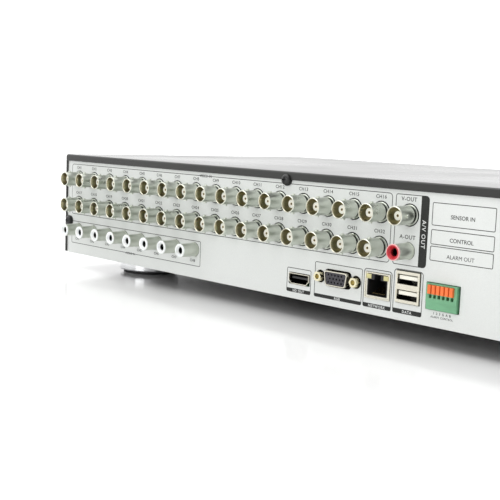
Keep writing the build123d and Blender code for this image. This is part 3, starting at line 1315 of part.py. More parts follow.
with BuildPart() as inner_leads:
    for lead_route in lead_routes:
        add(make_lead(lead_route, LEAD_RADIUS))
    blade_end_y = PANEL_Y + BLADE_BACK
    for place in blade_places[:2]:
        with Locations(rear_spot(*place, (BLADE_BACK + SUPPLY_Y[1] - PANEL_Y) / 2)):
            Cylinder(LEAD_RADIUS, blade_end_y - SUPPLY_Y[1], rotation=(90, 0, 0))
finish(inner_leads, "inner_leads")
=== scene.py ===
from math import cos, pi, radians, sin

import bmesh
import bpy
from mathutils import Matrix, Vector


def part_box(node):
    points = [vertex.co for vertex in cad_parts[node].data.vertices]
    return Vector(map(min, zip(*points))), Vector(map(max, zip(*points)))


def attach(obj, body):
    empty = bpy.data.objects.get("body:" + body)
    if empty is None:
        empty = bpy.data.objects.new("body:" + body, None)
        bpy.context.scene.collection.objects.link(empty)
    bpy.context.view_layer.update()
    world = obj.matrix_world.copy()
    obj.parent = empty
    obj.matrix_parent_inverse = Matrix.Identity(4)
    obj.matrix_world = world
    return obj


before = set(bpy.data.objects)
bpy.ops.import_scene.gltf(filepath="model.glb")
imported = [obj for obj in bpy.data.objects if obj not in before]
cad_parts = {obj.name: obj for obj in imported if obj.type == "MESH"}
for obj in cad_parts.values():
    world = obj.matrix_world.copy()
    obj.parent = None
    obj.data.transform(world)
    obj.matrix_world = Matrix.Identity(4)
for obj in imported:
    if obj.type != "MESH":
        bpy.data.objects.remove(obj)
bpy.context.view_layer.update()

# A video recorder seen from its rear left corner. Metres; the rear panel looks along +Y.
MM = 0.001
CASE = "case"
scene = bpy.context.scene


# ================================================================== places, read off the frame
def middle(node):
    low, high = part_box(node)
    return (low + high) / 2


def size(node):
    low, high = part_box(node)
    return high - low


PANEL_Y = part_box("rear_panel")[1].y
JACK_BLOCK = size("video_out_jack").x
JACKS_PER_ROW = 16
PITCH = (size("video_jacks_upper").x - JACK_BLOCK) / (JACKS_PER_ROW - 1)
FIRST_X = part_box("video_jacks_upper")[1].x - JACK_BLOCK / 2
FIRST_Z = middle("video_jacks_upper").z
AUDIO_JACKS = 8
KEY_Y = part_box("power_button")[0].y
JACK_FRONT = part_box("video_jacks_upper")[1].y - PANEL_Y
FLOOR_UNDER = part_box("bottom_chassis")[0].z + 0.05 * MM


def along_of(x):
    """How far a place lies from the first jack's axis, towards the mains inlet, in mm."""
    return (FIRST_X - x) / MM


def rear(along, up, out=0.0):
    """A point of the rear panel, from mm along, up and out of it."""
    return Vector((FIRST_X - along * MM, PANEL_Y + out * MM, FIRST_Z + up * MM))


OUTPUT_ALONG = along_of(middle("video_out_jack").x)
PITCH_MM = PITCH / MM

# Maps points drawn in a plane (x right, y up, z towards the viewer) onto the panel and the keys.
REAR_FACE = Matrix(((-1, 0, 0, FIRST_X), (0, 0, 1, PANEL_Y), (0, 1, 0, FIRST_Z), (0, 0, 0, 1)))
KEY_FACE = Matrix(((1, 0, 0, 0), (0, 0, -1, KEY_Y), (0, 1, 0, 0), (0, 0, 0, 1)))


# ================================================================== material helpers
class Shader:
    """A Principled material and the few node recipes that every finish here shares."""

    def __init__(self, name, color, roughness=0.4, metallic=0.0, **sockets):
        self.material = bpy.data.materials.new(name)
        self.material.use_nodes = True
        self.tree = self.material.node_tree
        self.bsdf = self.tree.nodes["Principled BSDF"]
        self.bsdf.inputs["Base Color"].default_value = (*color, 1.0)
        self.bsdf.inputs["Roughness"].default_value = roughness
        self.bsdf.inputs["Metallic"].default_value = metallic
        for socket, value in sockets.items():
            self.bsdf.inputs[socket.replace("_", " ")].default_value = value
        self.place = self.node("ShaderNodeTexCoord").outputs["Object"]

    def node(self, kind, **settings):
        made = self.tree.nodes.new(kind)
        for key, value in settings.items():
            setattr(made, key, value)
        return made

    def feed(self, socket, value):
        """Links an output, or sets a plain value."""
        if isinstance(value, bpy.types.NodeSocket):
            self.tree.links.new(value, socket)
        else:
            socket.default_value = value

    def noise(self, per_metre, detail=3.0, stretch=None):
        made = self.node("ShaderNodeTexNoise")
        made.inputs["Scale"].default_value = per_metre
        made.inputs["Detail"].default_value = detail
        place = self.place
        if stretch:
            mapping = self.node("ShaderNodeMapping")
            mapping.inputs["Scale"].default_value = stretch
            self.feed(mapping.inputs["Vector"], place)
            place = mapping.outputs["Vector"]
        self.feed(made.inputs["Vector"], place)
        return made.outputs["Fac"]

    def cells(self, per_metre):
        made = self.node("ShaderNodeTexVoronoi")
        made.inputs["Scale"].default_value = per_metre
        self.feed(made.inputs["Vector"], self.place)
        return made.outputs["Distance"]

    def math(self, operation, first, second=0.0):
        made = self.node("ShaderNodeMath", operation=operation)
        self.feed(made.inputs[0], first)
        self.feed(made.inputs[1], second)
        return made.outputs[0]

    def spread(self, fac, low, high, out_low, out_high):
        """Maps fac from low..high to out_low..out_high, and holds it there outside."""
        made = self.node("ShaderNodeMapRange")
        for socket, value in zip(made.inputs, (fac, low, high, out_low, out_high)):
            self.feed(socket, value)
        return made.outputs["Result"]

    def blend(self, fac, first, second):
        made = self.node("ShaderNodeMix", data_type="RGBA")
        self.feed(made.inputs["Factor"], fac)
        self.feed(made.inputs["A"], (*first, 1.0) if isinstance(first, tuple) else first)
        self.feed(made.inputs["B"], (*second, 1.0) if isinstance(second, tuple) else second)
        return made.outputs["Result"]

    def paint(self, color):
        self.feed(self.bsdf.inputs["Base Color"], color)

    def rough(self, fac):
        self.feed(self.bsdf.inputs["Roughness"], fac)

    def bump(self, height, depth, strength=0.5):
        made = self.node("ShaderNodeBump")
        made.inputs["Strength"].default_value = strength
        made.inputs["Distance"].default_value = depth
        self.feed(made.inputs["Height"], height)
        self.feed(self.bsdf.inputs["Normal"], made.outputs["Normal"])

    def axes(self):
        parts = self.node("ShaderNodeSeparateXYZ")
        self.feed(parts.inputs[0], self.place)
        return parts.outputs

    def from_axis(self):
        """Distance from the nearest jack's axis: every jack sits on one square grid."""
        x, y, z = self.axes()
        offsets = []
        for value, first in ((x, FIRST_X), (z, FIRST_Z)):
            shifted = self.math("SUBTRACT", value, first - PITCH / 2)
            wrapped = self.math("FLOORED_MODULO", shifted, PITCH)
            offsets.append(self.math("SUBTRACT", wrapped, PITCH / 2))
        squares = [self.math("MULTIPLY", part, part) for part in offsets]
        return self.math("SQRT", self.math("ADD", *squares))

    def out(self):
        """How far a point stands out of the rear panel, in metres."""
        return self.math("SUBTRACT", self.axes()[1], PANEL_Y)


def paint_material(name, color, roughness, grain, depth, change=0.06, **sockets):
    """Sprayed or powder-coated sheet: orange peel, a fine fleck and a slow drift of tone."""
    made = Shader(name, color, roughness, **sockets)
    slow = made.noise(9.0, 4.0)
    fleck = made.noise(grain, 2.0)
    light = tuple(min(1.0, c * (1 + change)) for c in color)
    dark = tuple(c * (1 - change) for c in color)
    tone = made.blend(made.spread(slow, 0.3, 0.7, 0.0, 1.0), dark, light)
    flecked = tuple(c * 0.8 for c in color)
    made.paint(made.blend(made.spread(fleck, 0.35, 0.75, 0.0, 0.35), tone, flecked))
    made.rough(made.spread(slow, 0.25, 0.75, roughness - 0.05, roughness + 0.07))
    made.bump(fleck, depth, 0.6)
    return made


def plastic_material(name, color, roughness=0.38, grain=2600.0, depth=4e-5, **sockets):
    """Moulded plastic: a fine spark-eroded texture, faint flow marks and handling dust."""
    made = Shader(name, color, roughness, **sockets)
    flow = made.noise(60.0, 3.0, stretch=(1.0, 1.0, 3.0))
    skin = made.cells(grain)
    paler = tuple(min(1.0, c * 1.12 + 0.006) for c in color)
    darker = tuple(c * 0.88 for c in color)
    made.paint(made.blend(made.spread(flow, 0.35, 0.65, 0.0, 1.0), darker, paler))
    made.rough(made.spread(flow, 0.3, 0.7, roughness - 0.06, roughness + 0.08))
    made.bump(skin, depth, 0.35)
    return made


def metal_material(name, color, roughness=0.3, lines=0.0, tint=0.12, **sockets):
    """Plated or bare metal: fine drawn or turned lines, tone drift and finger haze."""
    made = Shader(name, color, roughness, 1.0, **sockets)
    haze = made.noise(150.0, 4.0)
    dull = tuple(c * (1 - tint) for c in color)
    bright = tuple(min(1.0, c * (1 + tint * 0.5)) for c in color)
    made.paint(made.blend(made.spread(haze, 0.35, 0.7, 0.0, 1.0), dull, bright))
    made.rough(made.spread(haze, 0.3, 0.75, roughness - 0.08, roughness + 0.12))
    if lines:
        made.bump(made.noise(lines, 2.0, stretch=(0.04, 1.0, 0.04)), 2e-5, 0.4)
    else:
        made.bump(made.noise(1500.0, 2.0), 1.5e-5, 0.3)
    return made


# ================================================================== materials
BARREL_TONE = (0.62, 0.65, 0.58)
BARREL_DULL = (0.58, 0.61, 0.54)
BARREL_BRIGHT = (0.68, 0.71, 0.64)
BARREL_INSIDE = (0.58, 0.55, 0.40)
# Painted highlight: the pale tone along the front edge of each video jack barrel.
BARREL_RIM_HIGHLIGHT = (0.82, 0.81, 0.68)
SHADOW = (0.006, 0.006, 0.006)
# Painted shade: jack parts behind the rear panel, inside the case, are coloured near black.
BEHIND_PANEL_SHADE = (0.008, 0.008, 0.008)
COVER_TONE = (0.018, 0.0185, 0.0165)
CORE_TONE = (0.90, 0.88, 0.78)
SLEEVE_WHITE = (0.90, 0.91, 0.88)
# Painted highlights: the paler tones at the outer edge of the audio sleeves.
SLEEVE_WHITE_EDGE_HIGHLIGHT = (0.93, 0.94, 0.92)
SLEEVE_RED = (0.50, 0.02, 0.03)
SLEEVE_RED_EDGE_HIGHLIGHT = (0.86, 0.42, 0.42)
# Painted shade: the dark red deep in the red sleeve's pin hole.
SLEEVE_RED_HOLE_SHADE = (0.07, 0.002, 0.004)
WINDOW_TONE = (0.016, 0.010, 0.014)
BEZEL_TONE = (0.014, 0.014, 0.016)

# Distances from a jack's axis, or out of the panel, at which a finish changes and where painted
# highlights and painted shade begin.
WITHIN_BARREL = 4.35 * MM
MOUTH_DEPTH = 3.2 * MM
NECK_END = 2.05 * MM
RIM_START = JACK_FRONT - 0.16 * MM
RIM_FADE = 0.06 * MM
PANEL_SKIN = 0.05 * MM
SLEEVE_EDGE = 3.75 * MM
SLEEVE_HOLE = 2.0 * MM
NETWORK_BORDER = 0.9 * MM
NETWORK_FACE = 0.26 * MM


def jack_metal():
    """Nickel jacks: grey-green outside, brassy inside the barrel, a thin painted highlight round
    the mouth, painted shade in the groove at the base and behind the panel.
    """
    made = Shader("jack_nickel", BARREL_TONE, 0.34, 1.0)
    haze = made.noise(90.0, 3.0)
    tone = made.blend(made.spread(haze, 0.3, 0.7, 0.0, 1.0), BARREL_DULL, BARREL_BRIGHT)
    radius = made.from_axis()
    out = made.out()
    within = made.math("LESS_THAN", radius, WITHIN_BARREL)
    inside = made.math("MULTIPLY", within, made.math("GREATER_THAN", out, MOUTH_DEPTH))
    # Painted highlight: the front edge of each barrel is coloured pale.
    rim_highlight = made.spread(out, RIM_START, RIM_START + RIM_FADE, 0.0, 1.0)
    tone = made.blend(inside, tone, BARREL_INSIDE)
    tone = made.blend(rim_highlight, tone, BARREL_RIM_HIGHLIGHT)
    # Painted shade: the groove between collar and barrel is coloured near black.
    neck_shade = made.math("MULTIPLY", made.math("LESS_THAN", out, NECK_END), within)
    tone = made.blend(neck_shade, tone, (0.05, 0.05, 0.05))
    # Painted shade: everything behind the panel face is coloured near black.
    behind = made.math("LESS_THAN", out, PANEL_SKIN)
    made.paint(made.blend(behind, tone, BEHIND_PANEL_SHADE))
    made.rough(made.spread(haze, 0.3, 0.75, 0.26, 0.38))
    made.bump(made.noise(5200.0, 2.0, stretch=(0.03, 1.0, 0.03)), 8e-6, 0.35)
    return made


def phono_metal():
    """The plain plated barrels of the audio jacks; their blocks behind the panel are coloured near
    black as painted shade.
    """
    made = Shader("phono_nickel", BARREL_TONE, 0.34, 1.0)
    haze = made.noise(90.0, 3.0)
    tone = made.blend(made.spread(haze, 0.3, 0.7, 0.0, 1.0), BARREL_DULL, BARREL_BRIGHT)
    # Painted shade: everything behind the panel face is coloured near black.
    behind = made.math("LESS_THAN", made.out(), PANEL_SKIN)
    made.paint(made.blend(behind, tone, BEHIND_PANEL_SHADE))
    made.rough(made.spread(haze, 0.3, 0.75, 0.28, 0.40))
    made.bump(made.noise(5200.0, 2.0, stretch=(0.03, 1.0, 0.03)), 8e-6, 0.35)
    return made


def sleeve_material(name, color, edge, hole):
    """A glossy moulded sleeve: a painted highlight at its outer edge, and painted shade in its pin
    hole.
    """
    made = plastic_material(name, color, 0.26, 2200.0, 1e-5, Subsurface_Weight=0.06)
    tone = made.bsdf.inputs["Base Color"].links[0].from_socket
    radius = made.from_axis()
    # Painted highlight: the outer edge of the sleeve face is coloured paler.
    wear_and_highlight = made.spread(radius, SLEEVE_EDGE - 0.15 * MM, SLEEVE_EDGE, 0.0, 1.0)
    tone = made.blend(wear_and_highlight, tone, edge)
    # Painted shade: the pin hole is coloured dark.
    deep = made.spread(radius, SLEEVE_HOLE, SLEEVE_HOLE + 0.12 * MM, 1.0, 0.0)
    made.paint(made.blend(deep, tone, hole))
    return made


def port_shell():
    """Plated port shells, their insides falling into shadow behind the panel."""
    made = metal_material("port_nickel", (0.74, 0.71, 0.60), 0.26, 900.0)
    tone = made.bsdf.inputs["Base Color"].links[0].from_socket
    depth = made.spread(made.out(), -1.6 * MM, 0.1 * MM, 1.0, 0.0)
    made.paint(made.blend(depth, tone, (0.03, 0.028, 0.022)))
    return made


def contact_metal():
    """Brass pins; the wide tubes down in the audio jacks are in shadow."""
    made = metal_material("pin_brass", (0.30, 0.24, 0.12), 0.42, 2500.0)
    tone = made.bsdf.inputs["Base Color"].links[0].from_socket
    wide = made.spread(made.from_axis(), 1.1 * MM, 1.2 * MM, 0.0, 1.0)
    made.paint(made.blend(wide, tone, (0.004, 0.004, 0.004)))
    return made


def network_body():
    """The network jack's body: black, with a pale plated border round its face."""
    made = plastic_material("network_body", (0.010, 0.010, 0.010), 0.5)
    tone = made.bsdf.inputs["Base Color"].links[0].from_socket
    low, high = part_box("network_insert")
    across, _, height = made.axes()
    middle = (low.x + high.x) / 2
    aside = made.math("ABSOLUTE", made.math("SUBTRACT", across, middle))
    border = (high.x - low.x) / 2 - NETWORK_BORDER
    sides = made.math("GREATER_THAN", aside, border)
    foot = made.math("LESS_THAN", height, low.z + NETWORK_BORDER)
    edge = made.math("MAXIMUM", sides, foot)
    face = made.spread(made.out(), NETWORK_FACE, NETWORK_FACE + 0.02 * MM, 0.0, 1.0)
    made.paint(made.blend(made.math("MULTIPLY", face, edge), tone, (0.74, 0.72, 0.62)))
    return made


def print_material(name, color):
    """Screen-printed ink: matt, with tiny pinholes of tone."""
    made = Shader(name, color, 0.6, Specular_IOR_Level=0.25)
    grain = made.noise(4200.0, 2.0)
    wear_and_highlight = tuple(c * 0.7 + 0.03 for c in color)
    made.paint(made.blend(made.spread(grain, 0.3, 0.8, 0.0, 1.0), color, wear_and_highlight))
    made.bump(grain, 1e-5, 0.3)
    return made


def board_material():
    """Green solder mask over copper tracks, with pads of bare tin."""
    made = Shader("board_green", (0.03, 0.16, 0.07), 0.35)
    tracks = made.node("ShaderNodeTexBrick")
    tracks.inputs["Scale"].default_value = 160.0
    tracks.inputs["Mortar Size"].default_value = 0.012
    made.feed(tracks.inputs["Vector"], made.place)
    tracks.inputs["Color1"].default_value = (0.03, 0.17, 0.07, 1.0)
    tracks.inputs["Color2"].default_value = (0.04, 0.20, 0.09, 1.0)
    tracks.inputs["Mortar"].default_value = (0.10, 0.34, 0.15, 1.0)
    pads = made.spread(made.cells(240.0), 0.10, 0.13, 1.0, 0.0)
    made.paint(made.blend(pads, tracks.outputs["Color"], (0.62, 0.62, 0.58)))
    made.bump(tracks.outputs["Fac"], 3e-5, 0.4)
    return made


def steel_sheet():
    """Galvanised sheet with its soft spangle; the underside of the floor is coloured near black as
    painted shade.
    """
    made = Shader("chassis_steel", (0.60, 0.62, 0.64), 0.38, 1.0)
    spangle = made.cells(170.0)
    light = made.spread(spangle, 0.1, 0.7, 0.0, 1.0)
    tone = made.blend(light, (0.50, 0.52, 0.54), (0.70, 0.72, 0.74))
    # Painted shade: the underside of the chassis floor, facing the table, is coloured near black
    # and not metallic.
    under = made.spread(made.axes()[2], FLOOR_UNDER, FLOOR_UNDER + 0.1 * MM, 1.0, 0.0)
    made.paint(made.blend(under, tone, (0.012, 0.012, 0.012)))
    made.feed(made.bsdf.inputs["Metallic"], made.math("SUBTRACT", 1.0, under))
    made.rough(made.spread(spangle, 0.1, 0.7, 0.28, 0.48))
    made.bump(made.noise(900.0, 3.0), 2e-5, 0.4)
    return made


def glass_window():
    """Smoked gloss plastic with faint dust."""
    made = Shader("window_plastic", WINDOW_TONE, 0.08, Coat_Weight=0.6, Coat_Roughness=0.03)
    dust = made.noise(900.0, 5.0)
    made.paint(made.blend(made.spread(dust, 0.62, 0.8, 0.0, 0.25), WINDOW_TONE, (0.2, 0.2, 0.2)))
    made.rough(made.spread(dust, 0.5, 0.8, 0.06, 0.22))
    return made


materials = {
    "panel": paint_material("panel_paint", (0.715, 0.735, 0.715), 0.38, 3200.0, 2.5e-5, 0.03),
    "cover": paint_material("cover_paint", COVER_TONE, 0.27, 2400.0, 3e-5, 0.16),
    "steel": steel_sheet(),
    "jacks": jack_metal(),
    "phono": phono_metal(),
    "pins": contact_metal(),
    "core": plastic_material("core_white", CORE_TONE, 0.3, 2200.0, 2e-5, Subsurface_Weight=0.08),
    "white": sleeve_material("sleeve_white", SLEEVE_WHITE, SLEEVE_WHITE_EDGE_HIGHLIGHT, SHADOW),
    "red": sleeve_material("sleeve_red", SLEEVE_RED, SLEEVE_RED_EDGE_HIGHLIGHT, SLEEVE_RED_HOLE_SHADE),
    "network": network_body(),
    "cream": plastic_material("tongue_white", (0.88, 0.86, 0.76), 0.34),
    "port": port_shell(),
    "posts": metal_material("post_brass", (0.80, 0.74, 0.52), 0.16, 2500.0),
    "chrome": metal_material("foot_chrome", (0.82, 0.83, 0.84), 0.12, 0.0, 0.05),
    "zinc": metal_material("zinc_screws", (0.68, 0.69, 0.70), 0.3),
    "brass": metal_material("contact_brass", (0.72, 0.56, 0.26), 0.28, 2500.0),
    "gold": metal_material("contact_gold", (0.90, 0.68, 0.32), 0.2, 2500.0),
    "aluminium": metal_material("sink_aluminium", (0.76, 0.77, 0.79), 0.36, 1200.0),
    "black": plastic_material("black_plastic", (0.018, 0.018, 0.019), 0.36),
    "insert": plastic_material("insert_plastic", (0.035, 0.033, 0.042), 0.42),
    "screws": paint_material("black_oxide", (0.012, 0.012, 0.012), 0.30, 3000.0, 2e-5, 0.2),
    "rubber": plastic_material("pad_rubber", (0.016, 0.016, 0.016), 0.62, 1600.0, 8e-5),
    "bezel": plastic_material("bezel_gloss", BEZEL_TONE, 0.16, 1500.0, 6e-6, Coat_Weight=0.4),
    "keys": plastic_material("key_grey", (0.20, 0.205, 0.21), 0.40, 2600.0, 3e-5),
    "green": plastic_material("terminal_green", (0.16, 0.40, 0.22), 0.40),
    "orange": plastic_material("lever_orange", (0.80, 0.16, 0.03), 0.36),
    "board": board_material(),
    "window": glass_window(),
    "leads": plastic_material("lead_vinyl", (0.05, 0.05, 0.055), 0.5),
    "amber": plastic_material("light_amber", (0.58, 0.54, 0.26), 0.2, 2000.0, 1e-5),
    "ink": print_material("ink_dark", (0.016, 0.0175, 0.015)),
    "grey_ink": print_material("ink_grey", (0.045, 0.048, 0.045)),
    "white_ink": print_material("ink_white", (0.80, 0.82, 0.80)),
    "dark": plastic_material("deep_black", (0.004, 0.004, 0.004), 0.6),
}

KEYS = ["power", "menu", "back", "enter", "up", "down", "left", "right"]
LEVERS = 6
node_finish = {
    "panel": ["rear_panel"],
    "cover": ["top_cover"],
    "steel": ["bottom_chassis", "drive_bracket", "power_supply"],
    "jacks": ["video_jacks_upper", "video_jacks_lower", "video_out_jack"],
    "phono": ["audio_jacks"],
    "pins": ["jack_contacts"],
    "core": ["jack_insulators"],
    "white": ["audio_in_sleeves"],
    "red": ["audio_out_sleeve"],
    "cream": ["usb_tongues"],
    "port": ["hd_port_shell", "rgb_port_shell", "network_shell", "usb_shell"],
    "posts": ["rgb_port_posts"],
    "chrome": ["foot_rings", "fan_guard"],
    "zinc": ["inner_screws", "inlet_blades"],
    "brass": ["board_spacers"],
    "aluminium": ["heatsink", "hard_drives"],
    "black": [
        "hd_port_tongue", "mains_inlet", "power_switch_frame",
        "power_rocker", "fan_frame", "fan_rotor", "board_parts", "front_switches",
    ],
    "insert": ["rgb_port_insert"],
    "network": ["network_insert"],
    "screws": ["case_screws"],
    "rubber": ["foot_pads"],
    "bezel": ["front_bezel"],
    "keys": [key + "_button" for key in KEYS],
    "green": ["terminal_block"],
    "orange": ["terminal_lever_%d" % number for number in range(1, LEVERS + 1)],
    "board": ["main_board", "video_board", "front_board"],
    "window": ["front_window"],
    "leads": ["inner_leads"],
    "amber": ["network_lights"],
}
for finish, nodes in node_finish.items():
    for name in nodes:
        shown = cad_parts[name]
        shown.data.materials.clear()
        shown.data.materials.append(materials[finish].material)


# ================================================================== mesh helpers
# Print heights, in mm out of the face: each mark starts a little under it.
PRINT_UNDER = -0.02
PRINT_TOP = 0.04
BAND_TOP = 0.045
WHITE_TOP = 0.08
KEY_PRINT_TOP = 0.03
FINE_LINE = 0.36
CAPITAL = 0.72
HALF_LETTER = 0.02
LETTER_WEIGHT = 0.03
SQUARE = 0.05


def add_piece(name, mesh, finish, body=CASE):
    """Puts a finished mesh in the scene with its material, body and slot."""
    mesh.materials.clear()
    mesh.materials.append(materials[finish].material)
    piece = bpy.data.objects.new(name, mesh)
    scene.collection.objects.link(piece)
    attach(piece, body)
    return piece


def to_mesh(name, bm, smooth=False):
    bmesh.ops.recalc_face_normals(bm, faces=bm.faces)
    mesh = bpy.data.meshes.new(name)
    bm.to_mesh(mesh)
    bm.free()
    if smooth:
        mesh.shade_smooth()
        mesh.set_sharp_from_angle(angle=radians(35))
    return mesh


def rounded(left, right, low, high, radii, steps=6):
    """A rectangle's points, its corners rounded: low left, low right, high right, high left."""
    corners = [(left, low, 180), (right, low, 270), (right, high, 0), (left, high, 90)]
    points = []
    for (x, y, start), radius in zip(corners, radii):
        centre_x = x + radius if x == left else x - radius
        centre_y = y + radius if y == low else y - radius
        for step in range(steps + 1):
            angle = radians(start + 90 * step / steps)
            points.append((centre_x + radius * cos(angle), centre_y + radius * sin(angle)))
    return points


def prism(bm, points, place, low, high):
    """A flat plate of that outline, from low to high mm out of the face."""
    rings = []
    for out in (low, high):
        rings.append([bm.verts.new(place @ Vector((x * MM, y * MM, out * MM))) for x, y in points])
    bm.faces.new(rings[0])
    bm.faces.new(rings[1])
    join_rings(bm, rings[0], rings[1])


def join_rings(bm, first, second):
    count = len(first)
    for i in range(count):
        bm.faces.new((first[i], first[(i + 1) % count], second[(i + 1) % count], second[i]))


def outline(bm, outer, inner, place, low, high):
    """A closed printed line between two outlines with the same number of points."""
    rings = []
    for points, out in ((outer, low), (outer, high), (inner, high), (inner, low)):
        rings.append([bm.verts.new(place @ Vector((x * MM, y * MM, out * MM))) for x, y in points])
    for first, second in zip(rings, rings[1:] + rings[:1]):
        join_rings(bm, first, second)


def frame_line(bm, left, right, low, high, radii):
    """A fine printed frame on the rear panel, given by its outer edges in mm."""
    inner_radii = [max(radius - FINE_LINE, 0.02) for radius in radii]
    outer = rounded(left, right, low, high, radii)
    line = FINE_LINE
    inner = rounded(left + line, right - line, low + line, high - line, inner_radii)
    outline(bm, outer, inner, REAR_FACE, PRINT_UNDER, PRINT_TOP)


def words(bm, text, x, y, height, place=REAR_FACE, turn=0.0, top=PRINT_TOP, spacing=1.0):
    """Letters as thin solids, centred at x, y; height is that of a capital, in mm.

    Words with an M are not thickened: its inner corners would cross.
    """
    curve = bpy.data.curves.new("letters", "FONT")
    curve.body = text
    curve.align_x = "CENTER"
    curve.size = height / CAPITAL
    curve.space_character = spacing
    curve.extrude = HALF_LETTER
    curve.offset = 0.0 if "M" in text else LETTER_WEIGHT
    curve.resolution_u = 3
    holder = bpy.data.objects.new("letters", curve)
    scene.collection.objects.link(holder)
    bpy.context.view_layer.update()
    evaluated = holder.evaluated_get(bpy.context.evaluated_depsgraph_get())
    mesh = bpy.data.meshes.new_from_object(evaluated)
    shift = Matrix.Translation((x * MM, y * MM, (top - HALF_LETTER) * MM))
    spin = Matrix.Rotation(radians(turn), 4, "Z")
    centre = Matrix.Translation((0, -height * MM / 2, 0))
    scale = Matrix.Diagonal((MM, MM, MM, 1.0))
    mesh.transform(place @ shift @ spin @ centre @ scale)
    bm.from_mesh(mesh)
    bpy.data.meshes.remove(mesh)
    bpy.data.objects.remove(holder)
    bpy.data.curves.remove(curve)


def revolve(bm, profile, centre, steps=24):
    """A ring solid about an axis along Y: profile points are (radius, out) in mm."""
    rings = []
    for step in range(steps):
        angle = 2 * pi * step / steps
        side, up = cos(angle), sin(angle)
        turned = [Vector((r * MM * side, out * MM, r * MM * up)) for r, out in profile]
        rings.append([bm.verts.new(centre + point) for point in turned])
    for first, second in zip(rings, rings[1:] + rings[:1]):
        join_rings(bm, first, second)


def bevelled_box(bm, low, high, bevel):
    """A box with small rounded edges, between two corners in metres."""
    made = bmesh.ops.create_cube(bm, size=1.0)["verts"]
    span = high - low
    bmesh.ops.scale(bm, vec=span, verts=made)
    bmesh.ops.translate(bm, vec=(low + high) / 2, verts=made)
    edges = list({edge for vert in made for edge in vert.link_edges})
    bmesh.ops.bevel(bm, geom=edges, offset=bevel, segments=2, affect="EDGES")


# ================================================================== print on the rear panel
# Millimetres along and up from the axis of the first jack of the upper row.
VIDEO_RIGHT = 277.0
VIDEO_LOW, VIDEO_HIGH = -25.45, 10.25
OUTPUT_LEFT, OUTPUT_RIGHT = 279.0, 299.5
OUTPUT_BAND = 294.7
NOTE_LEFT, NOTE_RIGHT = 301.4, 337.0
NOTE_MIDDLE = 319.0
TERMINALS = 310.6
note_rows = [
    ("SENSOR IN", -3.7, 7.6, 1.2),
    ("CONTROL", -13.0, -5.6, -10.0),
    ("ALARM OUT", -21.0, -13.7, -18.1),
]
PORT_LOW = -50.1
ports = [
    (206.1, 224.3, -36.4, 1.0),
    (226.9, 260.2, -30.7, 1.0),
    (261.15, 279.6, -29.8, 2.0),
    (280.6, 298.6, -27.5, 2.0),
]
port_bands = [-48.0, -48.2, -47.9, -47.7]
port_words = ["HD OUT", "RGB", "NETWORK", "DATA"]


def print_frames():
    """The thin lines round each group of jacks and ports."""
    bm = bmesh.new()
    frame_line(bm, -9.0, VIDEO_RIGHT, VIDEO_LOW, VIDEO_HIGH, (2, 2, 2.2, 2))
    frame_line(bm, -8.5, 132.0, -46.3, -30.4, (1, 1, 1, 1))
    frame_line(bm, OUTPUT_LEFT, OUTPUT_RIGHT, VIDEO_LOW, VIDEO_HIGH, (1.2, 2, 2, 1.2))
    for left, right, high, radius in ports:
        frame_line(bm, left, right, PORT_LOW, high, (1, 1, radius, radius))
    for _, low, high, _ in note_rows:
        frame_line(bm, NOTE_LEFT, NOTE_RIGHT, low, high, (0.8, 0.8, 0.8, 0.8))
    return to_mesh("print_frames", bm)


def print_bands():
    """The dark bands that the port names stand on, and the one beside the outputs."""
    bm = bmesh.new()
    bands = []
    for (left, right, _, _), band in zip(ports, port_bands):
        bands.append(rounded(left, right, PORT_LOW, band, (1, 1, SQUARE, SQUARE)))
    bands.append(rounded(OUTPUT_BAND, OUTPUT_RIGHT, VIDEO_LOW, VIDEO_HIGH, (SQUARE, 2, 2, SQUARE)))
    for band in bands:
        prism(bm, band, REAR_FACE, PRINT_UNDER, BAND_TOP)
    return to_mesh("print_bands", bm)


def print_labels():
    """Channel numbers over the jacks and plain names for the groups."""
    bm = bmesh.new()
    for index in range(JACKS_PER_ROW):
        along = index * PITCH_MM
        words(bm, "CH%d" % (index + 1), along - 0.3, 8.0, 1.9, spacing=1.12)
        words(bm, "CH%d" % (index + 1 + JACKS_PER_ROW), along - 0.3, -9.8, 1.9, spacing=1.12)
    for index in range(AUDIO_JACKS):
        words(bm, "CH%d" % (index + 1), index * PITCH_MM - 1.3, -42.9, 1.7, spacing=1.12)
    words(bm, "V-OUT", 287.2, 8.0, 2.1, spacing=1.1)
    words(bm, "A-OUT", 287.4, -11.0, 2.1, spacing=1.1)
    words(bm, "VIDEO IN", 134.5, VIDEO_HIGH - 0.15, 1.7, spacing=1.1)
    words(bm, "AUDIO IN", 61.0, -46.15, 1.5, spacing=1.1)
    for text, _, _, up in note_rows:
        words(bm, text, NOTE_MIDDLE, up, 2.0)
    words(bm, "1  2  3  G  A  B", TERMINALS, -46.7, 1.2)
    words(bm, "ALARM  CONTROL", TERMINALS, -48.5, 1.1)
    words(bm, "AC IN", along_of(middle("mains_inlet").x), -49.4, 2.0)
    words(bm, "POWER", along_of(middle("power_switch_frame").x), 5.4, 2.0)
    return to_mesh("print_labels", bm)


def print_white():
    """White letters on the dark bands."""
    bm = bmesh.new()
    for (left, right, _, _), band, text in zip(ports, port_bands, port_words):
        along, up = (left + right) / 2, (PORT_LOW + band) / 2
        words(bm, text, along, up, 1.45, top=WHITE_TOP, spacing=1.15)
    words(bm, "A/V OUT", 297.1, -8.8, 2.3, turn=-90.0, top=WHITE_TOP, spacing=1.15)
    return to_mesh("print_white", bm)


add_piece("print_frames", print_frames(), "grey_ink")
add_piece("print_bands", print_bands(), "ink")
add_piece("print_labels", print_labels(), "grey_ink")
add_piece("print_white", print_white(), "white_ink")


